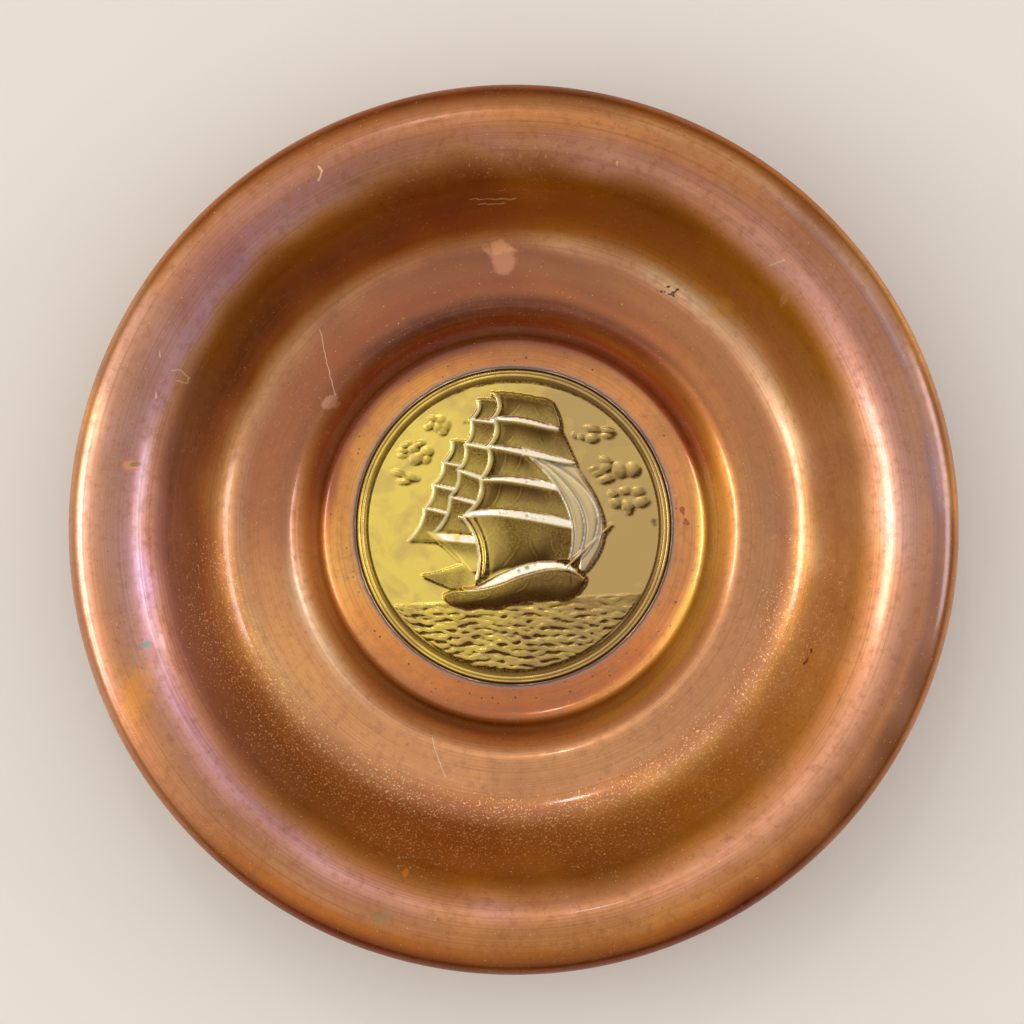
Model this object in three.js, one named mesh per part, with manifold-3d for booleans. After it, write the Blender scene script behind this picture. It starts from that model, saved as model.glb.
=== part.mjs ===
// A spun copper dish with a broad rolled rim, and a stamped brass disc with a sailing ship on its floor.
// Millimetres, +Z up. The origin is on the axis, at the underside of the floor. The ship's masts point to +Y.
import * as THREE from "three";
import { mergeVertices } from "three/addons/utils/BufferGeometryUtils.js";
import Module from "manifold-3d";

const wasm = await Module();
wasm.setup();

// Driving dimensions of the dish. Slopes are in degrees from level, rising outwards.
const SHEET = 1; // copper thickness
const ROUND_SIDES = 52; // sides of every turned surface
const DEGREES_A_STEP = 22; // most that one facet of a bend turns
const FLOOR_RADIUS = 63.3;

// The upper face of the sheet from the axis outwards. A run is level distance at the slope reached;
// a bend has its radius and the slope that it ends at.
const DISH_PROFILE = [
  { run: FLOOR_RADIUS },
  { radius: 8, slope: 50 }, // fillet round the floor
  { run: 2.6 },
  { radius: 38, slope: 36 }, // riser of the step
  { radius: 7, slope: 5 }, // edge of the shoulder
  { run: 9 },
  { radius: 20, slope: 36 },
  { radius: 26, slope: 48 }, // foot of the wall
  { run: 12.4 },
  { radius: 75, slope: 36 }, // wall
  { radius: 13.6, slope: 0 }, // up to the crest of the rim
  { radius: 24.5, slope: -27 }, // over the crest
  { radius: 7.4, slope: -90 }, // round the edge
  { radius: 10, slope: -118 }, // edge tucked in under the rim
];

// Driving dimensions of the disc. Heights of the relief are above its field.
const SEAM = 0.3; // solder between the disc and the floor
const DISC_RADIUS = 56.8;
const DISC_OFFSET = 1.2; // how far off the axis it is soldered, towards +Y
const FIELD_RADIUS = 51.6;
const FIELD_THICKNESS = 1.5;
const BEAD_HEIGHT = 1.3; // round bead of the border
const BEAD_RADIUS = 1.35;
const LIP_HEIGHT = 0.4; // thin inner line of the border
const ROOT_DEPTH = 0.6; // how far the relief's pieces run into the disc
const SLIVER = 0.02; // facets thinner than this are cleaned away

const COPPER = new THREE.MeshStandardMaterial({ color: 0xb5734a, roughness: 0.3, metalness: 1 });
const BRASS = new THREE.MeshStandardMaterial({ color: 0xbf9a4e, roughness: 0.3, metalness: 1 });

const lerp = THREE.MathUtils.lerp;
const arch = (t) => 4 * t * (1 - t); // 0 at both ends, 1 in the middle

// A closed three.js geometry as a solid that can be joined.
function solidOf(geometry) {
  const bare = new THREE.BufferGeometry();
  bare.setAttribute("position", geometry.getAttribute("position"));
  if (geometry.index) bare.setIndex(geometry.index);
  const merged = mergeVertices(bare, 1e-4);
  return new wasm.Manifold(
    new wasm.Mesh({
      numProp: 3,
      vertProperties: new Float32Array(merged.attributes.position.array),
      triVerts: new Uint32Array(merged.index.array),
    }),
  );
}

function geometryOf(solid) {
  const { vertProperties, triVerts } = solid.getMesh();
  const geometry = new THREE.BufferGeometry();
  geometry.setAttribute("position", new THREE.BufferAttribute(vertProperties, 3));
  geometry.setIndex(new THREE.BufferAttribute(triVerts, 1));
  geometry.computeVertexNormals();
  return geometry;
}

// A LatheGeometry turned to stand on +Z, from a profile of [radius, height] points.
function turned(profile, sides = ROUND_SIDES) {
  const points = profile.map(([r, z]) => new THREE.Vector2(r, z));
  return new THREE.LatheGeometry(points, sides).rotateX(Math.PI / 2);
}

// Walks the profile and returns its points as { r, z, slope }, with the slope in radians.
function walk(profile, start) {
  let { r, z, slope } = start;
  const points = [{ r, z, slope }];
  for (const step of profile) {
    if (step.run !== undefined) {
      r += step.run;
      z += step.run * Math.tan(slope);
      points.push({ r, z, slope });
      continue;
    }
    const end = THREE.MathUtils.degToRad(step.slope);
    const way = Math.sign(end - slope);
    const from = { r, z, slope };
    const count = Math.ceil(THREE.MathUtils.radToDeg(Math.abs(end - slope)) / DEGREES_A_STEP);
    for (let i = 1; i <= count; i++) {
      slope = lerp(from.slope, end, i / count);
      r = from.r + way * step.radius * (Math.sin(slope) - Math.sin(from.slope));
      z = from.z + way * step.radius * (Math.cos(from.slope) - Math.cos(slope));
      points.push({ r, z, slope });
    }
  }
  return points;
}

// The dish: its upper face, then the same face one sheet thickness lower, back to the axis.
function makeDish() {
  const upper = walk(DISH_PROFILE, { r: 0, z: SHEET, slope: 0 });
  const lower = upper.map(({ r, z, slope }) => [
    Math.max(0, r + SHEET * Math.sin(slope)),
    z - SHEET * Math.cos(slope),
  ]);
  const outline = [...lower, ...upper.map(({ r, z }) => [r, z]).reverse()];
  return turned(outline);
}

// Heights of the disc's own levels in the dish's frame.
const DISC_BACK = SHEET + SEAM;
const FIELD = DISC_BACK + FIELD_THICKNESS;

// The disc with its border: a thin line, a groove and a round bead.
function makeBlank() {
  const beadCentre = DISC_RADIUS - 0.75 - BEAD_RADIUS;
  const bead = [-1, -0.5, 0, 0.5, 1].map((t) => [
    beadCentre - BEAD_RADIUS * Math.sin((t * Math.PI) / 2),
    FIELD - 0.3 + (BEAD_HEIGHT + 0.3) * Math.cos((t * Math.PI) / 2),
  ]);
  const line = [
    [FIELD_RADIUS + 0.85, FIELD + LIP_HEIGHT],
    [FIELD_RADIUS, FIELD],
  ];
  const edge = [
    [0, DISC_BACK],
    [DISC_RADIUS, DISC_BACK],
    [DISC_RADIUS, DISC_BACK + 0.8],
  ];
  return solidOf(turned([...edge, ...bead, ...line, [0, FIELD]]));
}

// A four-sided piece of relief. left and right give x for a height y on the disc, top and bottom give y for x,
// and height gives how far it stands above the field at u (left to right) and v (top to bottom).
function patch({ left, right, top, bottom, height }, across, down) {
  const corner = (u, v) => {
    let y = lerp(top(0), bottom(0), v);
    let x = 0;
    for (let i = 0; i < 12; i++) {
      x = lerp(left(y), right(y), u);
      y = lerp(top(x), bottom(x), v);
    }
    return [x, y];
  };
  const position = [];
  const index = [];
  const columns = across + 1;
  const layer = columns * (down + 1);
  for (const raised of [true, false])
    for (let j = 0; j <= down; j++)
      for (let i = 0; i <= across; i++) {
        const [x, y] = corner(i / across, j / down);
        const z = raised ? FIELD + height(i / across, j / down) : FIELD - ROOT_DEPTH;
        position.push(x, y, z);
      }
  const at = (i, j, under) => j * columns + i + (under ? layer : 0);
  const quad = (a, b, c, d) => index.push(a, b, c, a, c, d);
  for (let j = 0; j < down; j++)
    for (let i = 0; i < across; i++) {
      quad(at(i, j), at(i, j + 1), at(i + 1, j + 1), at(i + 1, j));
      quad(at(i, j, true), at(i + 1, j, true), at(i + 1, j + 1, true), at(i, j + 1, true));
    }
  for (let i = 0; i < across; i++) {
    quad(at(i, 0), at(i + 1, 0), at(i + 1, 0, true), at(i, 0, true));
    quad(at(i + 1, down), at(i, down), at(i, down, true), at(i + 1, down, true));
  }
  for (let j = 0; j < down; j++) {
    quad(at(0, j + 1), at(0, j), at(0, j, true), at(0, j + 1, true));
    quad(at(across, j), at(across, j + 1), at(across, j + 1, true), at(across, j, true));
  }
  const geometry = new THREE.BufferGeometry();
  geometry.setAttribute("position", new THREE.Float32BufferAttribute(position, 3));
  geometry.setIndex(index);
  return solidOf(geometry);
}

// The headsails: crescents between neighbouring lines, from the foot of the second fore sail to the bowsprit.
// Each line has its top and foot, how far it bows out to the right, and how low the bow sits.
const INNER = { top: [4.6, 25.8], foot: [19.3, -12.6], bow: 7, low: 1 };
const HEADSAIL_LINES = [
  INNER,
  { top: [6.6, 24.8], foot: [21.6, -12.4], bow: 9.6, low: 1 },
  { top: [9.7, 23.3], foot: [23.8, -11.6], bow: 11.8, low: 1 },
  { top: [20.9, 25], foot: [25.5, -16.5], bow: 8.6, low: 1.28 },
];
const HEADSAIL_LIFT = 1.9;
const HEADSAIL_BELLY = 0.9;

function headsailLine({ top, foot, bow, low }) {
  return (y) => {
    const t = THREE.MathUtils.clamp((top[1] - y) / (top[1] - foot[1]), 0, 1);
    return lerp(top[0], foot[0], t) + bow * arch(t ** low);
  };
}

function headsails() {
  const head = yardLine(FORE_MAST.cusps[2], FORE_MAST);
  return HEADSAIL_LINES.slice(1).map((outer, i) => {
    const inner = HEADSAIL_LINES[i];
    const shape = {
      left: headsailLine(inner),
      right: (y) => headsailLine(outer)(y) + TUCK,
      top: (x) => head(x) + TUCK,
      bottom: () => outer.foot[1] + 0.5,
      height: (u, v) => HEADSAIL_LIFT - 0.35 * i + HEADSAIL_BELLY * arch(u) * arch(0.15 + 0.7 * v),
    };
    return patch(shape, 3, 8);
  });
}

// The square sails. Each mast has the cusps of its left edge from the top down, which are the sails' corners there;
// its heads drop away to the right of crown, by fall times the distance squared.
const FORE_MAST = {
  cusps: [[-8.5, 48.1], [-8, 38.6], [-9.6, 28.8], [-12.6, 17.6], [-16.9, 5.8]],
  crown: -4,
  fall: 0.0105,
  right: (y, i) => (i < 2 ? foreLeech(y) : headsailLine(INNER)(y) + 0.3),
  bulge: 2.5,
  lift: 0.9,
  belly: 0.8,
  grid: [5, 4],
};
const MAIN_MAST = {
  cusps: [[-13.4, 45.6], [-16.4, 38.3], [-18.3, 29.2], [-20.8, 20], [-23.6, 10.5], [-28.8, -2.2]],
  crown: -20,
  fall: 0.016,
  right: (y) => -2.5 - 0.2 * (45 - y),
  bulge: 1.7,
  lift: 0.5,
  belly: 0.6,
  grid: [3, 3],
};
const MIZZEN_MAST = {
  cusps: [[-22.7, 30.9], [-26, 22.8], [-29.7, 14.7], [-32.6, 6.2], [-38.4, -5.5]],
  crown: -34,
  fall: 0.009,
  right: (y) => -14 - 0.29 * (31 - y),
  bulge: 1.6,
  lift: 0.3,
  belly: 0.5,
  grid: [3, 3],
};
const BEVEL = 0.25; // share of a sail's height that slopes up from its head
const BEVEL_RISE = 1.1;
const TUCK = 0.4; // how far a sail's head runs in under the foot above it

// The free right edge of the two upper fore sails.
function foreLeech(y) {
  return 16.6 + 0.47 * Math.max(0, 35 - y) - 0.03 * Math.max(0, y - 35) ** 2;
}

function sailHeight(lift, belly) {
  return (u, v) => lift + BEVEL_RISE * Math.min(1, v / BEVEL) + belly * arch(0.9 * v) * (0.4 + 0.6 * arch(u));
}

// The line of a head or foot that starts at a cusp and drops away to the right of the crown.
function yardLine([x0, y0], { crown, fall }) {
  const drop = (x) => fall * Math.max(0, x - crown) ** 2;
  return (x) => y0 - drop(x) + drop(x0);
}

function squareSails(mast) {
  return mast.cusps.slice(1).map((foot, i) => {
    const above = i ? TUCK : 0;
    const head = [mast.cusps[i][0] + above, mast.cusps[i][1] + above];
    const left = (y) => {
      const t = THREE.MathUtils.clamp((head[1] - y) / (head[1] - foot[1]), 0, 1);
      return lerp(head[0], foot[0], t) + mast.bulge * arch(t);
    };
    const shape = {
      left,
      right: (y) => mast.right(y, i),
      top: yardLine(head, mast),
      bottom: yardLine(foot, mast),
      height: sailHeight(mast.lift, mast.belly),
    };
    return patch(shape, ...mast.grid);
  });
}

// The fore course, the deep lowest sail, whose foot lifts clear of the deck to the right.
const COURSE_HEAD = [-20.7, 4.6];
const COURSE_FOOT = [-13.1, -21];
function courseLeft(y) {
  const t = THREE.MathUtils.clamp((COURSE_HEAD[1] - y) / (COURSE_HEAD[1] - COURSE_FOOT[1]), 0, 1);
  return lerp(COURSE_HEAD[0], COURSE_FOOT[0], t) + 6.4 * arch(t ** 0.8);
}
const courseTop = yardLine([-16.9, 5.8 + TUCK], FORE_MAST);
const courseBottom = (x) => -12 - 0.0079 * (x - 17) ** 2;
const COURSE_BELLY = 1.5;

function foreCourse() {
  const shape = {
    left: courseLeft,
    right: (y) => headsailLine(INNER)(y) + 0.3,
    top: courseTop,
    bottom: courseBottom,
    height: sailHeight(FORE_MAST.lift, COURSE_BELLY),
  };
  return patch(shape, 6, 5);
}

// The fore-and-aft sails over the stern: one below the main mast's sails, and the spanker behind it.
function afterSails() {
  const crossjack = {
    left: (y) => -30.3 + 1.1 * (-2.8 - y),
    right: (y) => courseLeft(y) - 0.2,
    top: (x) => -2.6 - 0.13 * (x + 29),
    bottom: () => -16,
    height: (u, v) => 0.5 + 0.5 * v + 0.6 * arch(u) * arch(v),
  };
  const spanker = {
    left: () => -33,
    right: () => -13.6,
    top: (x) => -17.2 + 0.035 * (x + 33) ** 2 - 0.0012 * (x + 33) ** 3,
    bottom: (x) => -17.8 - 0.42 * Math.min(x + 33, 11),
    height: (u, v) => 0.35 + 0.5 * arch(0.2 + 0.6 * v) * (1 - u) ** 0.5,
  };
  return [patch(crossjack, 3, 4), patch(spanker, 5, 2)];
}

// The hull by its stations from stern to bow: x, the top of the bulwark, the deck line and the waterline.
const HULL_STATIONS = [
  [-25.2, -23.9, -24.3, -26.4],
  [-21, -22.4, -23, -28.9],
  [-13.3, -21.5, -22.8, -29.3],
  [-5.3, -17.4, -21, -29],
  [3, -14, -17.8, -27.1],
  [11.5, -12.5, -15.6, -26.3],
  [18.4, -13.2, -15.2, -26.2],
  [22.6, -15.4, -16.5, -24.2],
  [25.4, -17.8, -18.3, -20.2],
];
const HULL_LIFT = 1.5;
const HULL_BELLY = 1.7;
const BULWARK_LIFT = 1.2;

function hullLine(column) {
  const curve = new THREE.CatmullRomCurve3(
    HULL_STATIONS.map((station) => new THREE.Vector3(station[0], station[column], 0)),
  );
  const points = curve.getPoints(64);
  return (x) => {
    const i = points.findIndex((p) => p.x >= x);
    if (i <= 0) return points[i < 0 ? points.length - 1 : 0].y;
    const [a, b] = [points[i - 1], points[i]];
    return lerp(a.y, b.y, (x - a.x) / (b.x - a.x));
  };
}

function hull() {
  const [rail, deck, waterline] = [1, 2, 3].map(hullLine);
  const ends = {
    left: () => HULL_STATIONS[0][0],
    right: () => HULL_STATIONS[HULL_STATIONS.length - 1][0],
  };
  const side = {
    ...ends,
    top: deck,
    bottom: waterline,
    height: (u, v) => 0.4 + (HULL_LIFT + HULL_BELLY * arch(0.25 + 0.7 * v)) * arch(0.06 + 0.88 * u) ** 0.4,
  };
  const bulwark = {
    left: () => -17,
    right: () => 23,
    top: rail,
    bottom: (x) => deck(x) - 0.3,
    height: (u, v) => BULWARK_LIFT + 1.4 * v,
  };
  return [patch(side, 14, 4), patch(bulwark, 10, 1)];
}

// The bowsprit: a tapering spar that points up to the right.
const BOWSPRIT_HEEL = [18.6, -14.8];
const BOWSPRIT_TIP = [35.2, 1];
const BOWSPRIT_RISE = 2.2;
const BOWSPRIT_WIDTH = 1.5;

function bowsprit() {
  const [dx, dy] = [BOWSPRIT_TIP[0] - BOWSPRIT_HEEL[0], BOWSPRIT_TIP[1] - BOWSPRIT_HEEL[1]];
  const half = BOWSPRIT_WIDTH / 2;
  const spar = new THREE.CylinderGeometry(0.45 * half, half, Math.hypot(dx, dy), 8);
  spar.scale(1, 1, BOWSPRIT_RISE / half);
  spar.rotateZ(Math.atan2(dy, dx) - Math.PI / 2);
  spar.translate(BOWSPRIT_HEEL[0] + dx / 2, BOWSPRIT_HEEL[1] + dy / 2, FIELD);
  const above = new THREE.BoxGeometry(2 * DISC_RADIUS, 2 * DISC_RADIUS, 10);
  above.translate(0, 0, FIELD - ROOT_DEPTH + 5);
  return solidOf(spar).intersect(solidOf(above));
}

// A low dome that stands out of the field.
function dome([x, y], [rx, ry], rise, turn = 0, sides = 7) {
  const ball = new THREE.SphereGeometry(1, sides, 4).rotateX(Math.PI / 2);
  ball.scale(rx, ry, rise);
  ball.rotateZ(turn);
  ball.translate(x, y, FIELD - 0.02);
  return solidOf(ball);
}

// The clouds: centre, width and height of each. A cloud is a heap of puffs that swell towards its middle.
const CLOUDS = [
  { at: [-26.6, 36.7], size: [10, 5.4] },
  { at: [-35.3, 26.4], size: [13, 6.8] },
  { at: [-39.4, 17.6], size: [11, 4.4] },
  { at: [28.4, 33.4], size: [15.6, 5] },
  { at: [35.6, 20.2], size: [18, 7.6] },
  { at: [41.4, 9.8], size: [16, 7.6] },
];
const CLOUD_PUFFS = 4;
const CLOUD_RISE = 1.1;

function clouds() {
  return CLOUDS.flatMap(({ at, size }, k) =>
    Array.from({ length: CLOUD_PUFFS }, (_, i) => {
      const t = (i + 0.5) / CLOUD_PUFFS;
      const side = (i + k) % 2 ? 1 : -1;
      const place = [at[0] + 0.86 * (t - 0.5) * size[0], at[1] + 0.17 * side * size[1]];
      const reach = [(size[0] / CLOUD_PUFFS) * 0.78, size[1] * (0.24 + 0.13 * arch(t))];
      return dome(place, reach, CLOUD_RISE * (0.55 + 0.45 * arch(t)), 0.3 * side);
    }),
  );
}

// The sea: rows of waves from the horizon to the border. A row climbs a little to the right, its crest wanders,
// and it swells and sinks along its length.
const HORIZON = -26.6;
const SEA_CLIMB = 0.04;
const SEA_ROWS = 9;
const ROW_STEP = 2.6;
const WAVE_LENGTH = 8.4;
const WAVE_RISE = 1;

function sea() {
  const rows = Array.from({ length: SEA_ROWS }, (_, k) => {
    const y = HORIZON - ROW_STEP * k;
    const reach = Math.sqrt(FIELD_RADIUS ** 2 - Math.min(0, y + ROW_STEP) ** 2);
    const wave = (x, share, shift) => Math.sin((2 * Math.PI * x) / (share * WAVE_LENGTH) + shift * (k + 1));
    const crest = (x) => y + SEA_CLIMB * x + 0.5 * wave(x, 1, 1.7);
    const swell = (x) => 0.55 + 0.45 * wave(x, 0.83, 3.9);
    const shape = {
      left: () => -reach,
      right: () => reach,
      top: (x) => crest(x) + 0.5 * ROW_STEP,
      bottom: (x) => crest(x) - 0.6 * ROW_STEP,
      height: (u, v) => -0.1 + WAVE_RISE * swell(lerp(-reach, reach, u)) * arch(v),
    };
    return patch(shape, Math.round(reach / 2.8), 2);
  });
  const field = new THREE.CylinderGeometry(FIELD_RADIUS, FIELD_RADIUS, 20, ROUND_SIDES).rotateX(Math.PI / 2);
  return wasm.Manifold.union(rows).intersect(solidOf(field));
}

function makeMedallion() {
  const relief = [
    ...clouds(),
    sea(),
    ...squareSails(MIZZEN_MAST),
    ...squareSails(MAIN_MAST),
    ...squareSails(FORE_MAST),
    foreCourse(),
    ...headsails(),
    ...afterSails(),
    ...hull(),
    bowsprit(),
  ];
  return geometryOf(wasm.Manifold.union([makeBlank(), ...relief]).simplify(SLIVER));
}

function named(name, geometry, material) {
  const mesh = new THREE.Mesh(geometry, material);
  mesh.name = name;
  return mesh;
}

const dish = new THREE.Group();
dish.add(named("copper_dish", makeDish(), COPPER));
const medallion = named("brass_medallion", makeMedallion(), BRASS);
medallion.position.y = DISC_OFFSET;
dish.add(medallion);

export default dish;
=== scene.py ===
import math

import bpy
import numpy as np
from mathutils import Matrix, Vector


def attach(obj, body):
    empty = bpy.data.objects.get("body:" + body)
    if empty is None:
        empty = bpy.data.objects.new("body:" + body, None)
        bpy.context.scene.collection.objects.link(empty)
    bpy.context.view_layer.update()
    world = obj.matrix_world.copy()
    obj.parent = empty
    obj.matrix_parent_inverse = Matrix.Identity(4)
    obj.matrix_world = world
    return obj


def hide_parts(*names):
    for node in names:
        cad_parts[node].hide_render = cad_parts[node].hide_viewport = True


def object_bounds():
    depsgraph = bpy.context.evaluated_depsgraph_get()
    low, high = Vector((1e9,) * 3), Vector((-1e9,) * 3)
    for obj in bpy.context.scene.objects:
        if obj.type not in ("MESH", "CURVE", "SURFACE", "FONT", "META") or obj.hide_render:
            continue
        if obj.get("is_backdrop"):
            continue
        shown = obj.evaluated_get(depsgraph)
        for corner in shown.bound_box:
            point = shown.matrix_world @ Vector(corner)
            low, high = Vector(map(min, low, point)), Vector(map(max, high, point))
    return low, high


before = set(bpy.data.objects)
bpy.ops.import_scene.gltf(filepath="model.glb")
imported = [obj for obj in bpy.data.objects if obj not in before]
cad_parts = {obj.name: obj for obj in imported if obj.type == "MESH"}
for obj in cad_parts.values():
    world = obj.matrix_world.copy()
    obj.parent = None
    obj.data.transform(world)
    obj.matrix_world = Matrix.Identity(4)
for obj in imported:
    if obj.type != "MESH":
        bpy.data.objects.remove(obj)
solid_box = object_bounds()

# The camera
# The dish lies face up, and the camera is 0.8 m above its rim, a touch south of straight overhead.
# South is the side below the ship's keel.
VIEW_DISTANCE = 0.8
VIEW_TILT = math.radians(1.3)
VIEW_CENTRE = Vector((-0.0006, 0.0053, 0.047))

lens = bpy.data.cameras.new("lens")
lens.lens = 82.75
lens.sensor_width = 36
camera = bpy.data.objects.new("camera", lens)
camera.location = VIEW_CENTRE + VIEW_DISTANCE * Vector((0, -math.sin(VIEW_TILT), math.cos(VIEW_TILT)))
camera.rotation_euler = (VIEW_TILT, 0, 0)
bpy.context.scene.collection.objects.link(camera)
bpy.context.scene.camera = camera

# The floor and the light
# A plain pale floor. Two soft boxes stand low to the left and the right, and a small lamp hangs to the north.
# The room is bright overhead, more so to the north than to the south, with a pale window high in the west.


def add(tree, kind, settings=None, feeds=None):
    """A node in tree, with its settings. Sockets or plain values feed its inputs, by name or number."""
    made = tree.nodes.new(kind)
    for name, value in (settings or {}).items():
        setattr(made, name, value)
    for name, value in (feeds or {}).items():
        if isinstance(value, bpy.types.NodeSocket):
            tree.links.new(value, made.inputs[name])
        else:
            made.inputs[name].default_value = value
    return made


def calc(tree, operation, a, b=0.0, clamp=False):
    """The socket of a Math node."""
    return add(tree, "ShaderNodeMath", {"operation": operation, "use_clamp": clamp}, {0: a, 1: b}).outputs[0]


def spread(tree, value, low, high, to_low=0.0, to_high=1.0, kind="SMOOTHSTEP"):
    """value from low to high becomes to_low to to_high, smoothly."""
    feeds = {"Value": value, "From Min": low, "From Max": high, "To Min": to_low, "To Max": to_high}
    return add(tree, "ShaderNodeMapRange", {"interpolation_type": kind}, feeds).outputs[0]


def tint(tree, share, under, over, mode="MIX"):
    """The colour under, with over laid on it by share."""
    settings = {"data_type": "RGBA", "blend_type": mode}
    return add(tree, "ShaderNodeMix", settings, {0: share, 6: under, 7: over}).outputs[2]


def soft_box(name, azimuth, elevation, distance, width, height, power, colour):
    """A lamp that faces the dish. Azimuth is clockwise from north."""
    box = bpy.data.lights.new(name, "AREA")
    box.shape = "RECTANGLE"
    box.size, box.size_y = width, height
    box.energy, box.color = power, colour
    lamp = bpy.data.objects.new(name, box)
    a, e = math.radians(azimuth), math.radians(elevation)
    way = Vector((math.sin(a) * math.cos(e), math.cos(a) * math.cos(e), math.sin(e)))
    lamp.location = distance * way
    lamp.rotation_euler = way.to_track_quat("Z", "Y").to_euler()
    bpy.context.scene.collection.objects.link(lamp)


LAMPS = [
    # name, azimuth and elevation in degrees, distance, width and height in metres, watts, colour
    ("left_box", 268, 29, 1.6, 0.95, 0.2, 5.0, (1.0, 0.97, 0.9)),
    ("right_box", 84, 29, 1.6, 0.9, 0.2, 2.9, (1.0, 0.9, 1.0)),
    ("north_lamp", 348, 54, 1.6, 0.07, 0.04, 0.7, (1.0, 0.96, 0.9)),
]
for lamp in LAMPS:
    soft_box(*lamp)

room = bpy.data.worlds.new("room")
bpy.context.scene.world = room
room.use_nodes = True
sky = room.node_tree
LAMPLIGHT = (1.0, 0.6, 0.25, 1)
DAYLIGHT = (1.0, 0.97, 0.93, 1)
WINDOW_GLOW = 0.35
# East, north and height are the parts of a direction: a height of 0 is the horizon, and 1 is overhead.
way = add(sky, "ShaderNodeTexCoord").outputs["Generated"]
east, north, height = add(sky, "ShaderNodeSeparateXYZ", None, {0: way}).outputs
to_north = spread(sky, height, 0.13, 0.52, 0.12, 0.9)
to_south = spread(sky, height, 0.15, 0.54, 0.08, 0.7)
share = spread(sky, north, -0.08, 0.2)
from_north = calc(sky, "MULTIPLY", to_north, share)
from_south = calc(sky, "MULTIPLY", to_south, calc(sky, "SUBTRACT", 1.0, share))
glow = calc(sky, "ADD", from_north, from_south)
west = spread(sky, east, 0.1, -0.7)
window = calc(sky, "MULTIPLY", spread(sky, height, 0.3, 0.55), spread(sky, height, 0.95, 0.7))
glow = calc(sky, "ADD", glow, calc(sky, "MULTIPLY", calc(sky, "MULTIPLY", west, window), WINDOW_GLOW))
light = tint(sky, spread(sky, height, 0.05, 0.6), LAMPLIGHT, DAYLIGHT)
sky.links.new(light, sky.nodes["Background"].inputs["Color"])
sky.links.new(glow, sky.nodes["Background"].inputs["Strength"])
bpy.context.scene.view_settings.view_transform = "Standard"

FLOOR_REACH = 9.0
FLOOR_COLOUR = (0.85, 0.81, 0.76, 1)
floor_mesh = bpy.data.meshes.new("floor")
corners = [(x * FLOOR_REACH, y * FLOOR_REACH, 0) for x, y in ((-1, -1), (1, -1), (1, 1), (-1, 1))]
floor_mesh.from_pydata(corners, [], [(0, 1, 2, 3)])
floor = bpy.data.objects.new("floor", floor_mesh)
bpy.context.scene.collection.objects.link(floor)
pale = bpy.data.materials.new("pale_floor")
pale.use_nodes = True
pale.node_tree.nodes["Principled BSDF"].inputs["Base Color"].default_value = FLOOR_COLOUR
pale.node_tree.nodes["Principled BSDF"].inputs["Roughness"].default_value = 0.8
floor_mesh.materials.append(pale)
floor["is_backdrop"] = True

# The copper dish
# One sheet of copper, 1 mm thick, spun over a former: a flat floor, a stepped shoulder, a steep wall
# and a broad rim rolled over to a tucked edge. It was polished and lacquered, and has tarnished with age.
SHEET = 1.0
DISH_PROFILE = [
    # From the axis outwards, in mm and degrees: a run's width, or a bend's radius and the slope it ends at.
    ("run", 63.3),
    ("bend", 8.0, 50),
    ("run", 2.6),
    ("bend", 38.0, 36),
    ("bend", 7.0, 5),
    ("run", 9.0),
    ("bend", 20.0, 36),
    ("bend", 42.0, 48),
    ("run", 9.9),
    ("bend", 75.0, 36),
    ("bend", 13.6, 0),
    ("bend", 24.5, -27),
    ("bend", 7.4, -90),
    ("bend", 10.0, -118),
]
ROUND = 360
FACE_STEP, FACE_TURN = 1.15, math.radians(5)
BACK_STEP, BACK_TURN = 3.0, math.radians(8)
EDGE_STEPS = 6
MM = 0.001


def walk_profile(step_mm, most_turn):
    """Points (r, z, slope) along the upper face, in mm and radians, at most step_mm or most_turn apart."""
    r, z, slope = 0.0, SHEET, 0.0
    points = [(r, z, slope)]
    for kind, *sizes in DISH_PROFILE:
        r0, z0, slope0 = r, z, slope
        if kind == "run":
            count = max(1, math.ceil(sizes[0] / math.cos(slope) / step_mm))
            for i in range(1, count + 1):
                r = r0 + sizes[0] * i / count
                z = z0 + math.tan(slope) * sizes[0] * i / count
                points.append((r, z, slope))
            continue
        radius, end = sizes[0], math.radians(sizes[1])
        way = math.copysign(1, end - slope)
        turn = abs(end - slope)
        count = max(math.ceil(turn * radius / step_mm), math.ceil(turn / most_turn))
        for i in range(1, count + 1):
            slope = slope0 + (end - slope0) * i / count
            r = r0 + way * radius * (math.sin(slope) - math.sin(slope0))
            z = z0 + way * radius * (math.cos(slope0) - math.cos(slope))
            points.append((r, z, slope))
    return points


def dish_outline():
    """The section of the sheet: along its back, round its edge, and back along its face to the axis.
    Also the number of the first point that counts as its face, half way round the edge."""
    face = walk_profile(FACE_STEP, FACE_TURN)
    behind = walk_profile(BACK_STEP, BACK_TURN)
    back = [(r + SHEET * math.sin(s), z - SHEET * math.cos(s)) for r, z, s in behind]
    r, z, s = face[-1]
    middle = (r + 0.5 * SHEET * math.sin(s), z - 0.5 * SHEET * math.cos(s))
    edge = []
    for i in range(1, EDGE_STEPS):
        a = s - math.pi / 2 + math.pi * i / EDGE_STEPS
        edge.append((middle[0] + 0.5 * SHEET * math.cos(a), middle[1] + 0.5 * SHEET * math.sin(a)))
    first_of_face = len(back) + EDGE_STEPS // 2 - 1
    return np.array(back[1:] + edge + [(r, z) for r, z, _ in face[:0:-1]]), first_of_face


outline, first_of_face = dish_outline()
angle = np.arange(ROUND) * 2 * np.pi / ROUND
r, z = outline[:, 0][:, None], outline[:, 1][:, None]
x, y = r * np.cos(angle), r * np.sin(angle)
z = np.broadcast_to(z, x.shape).copy()

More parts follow.
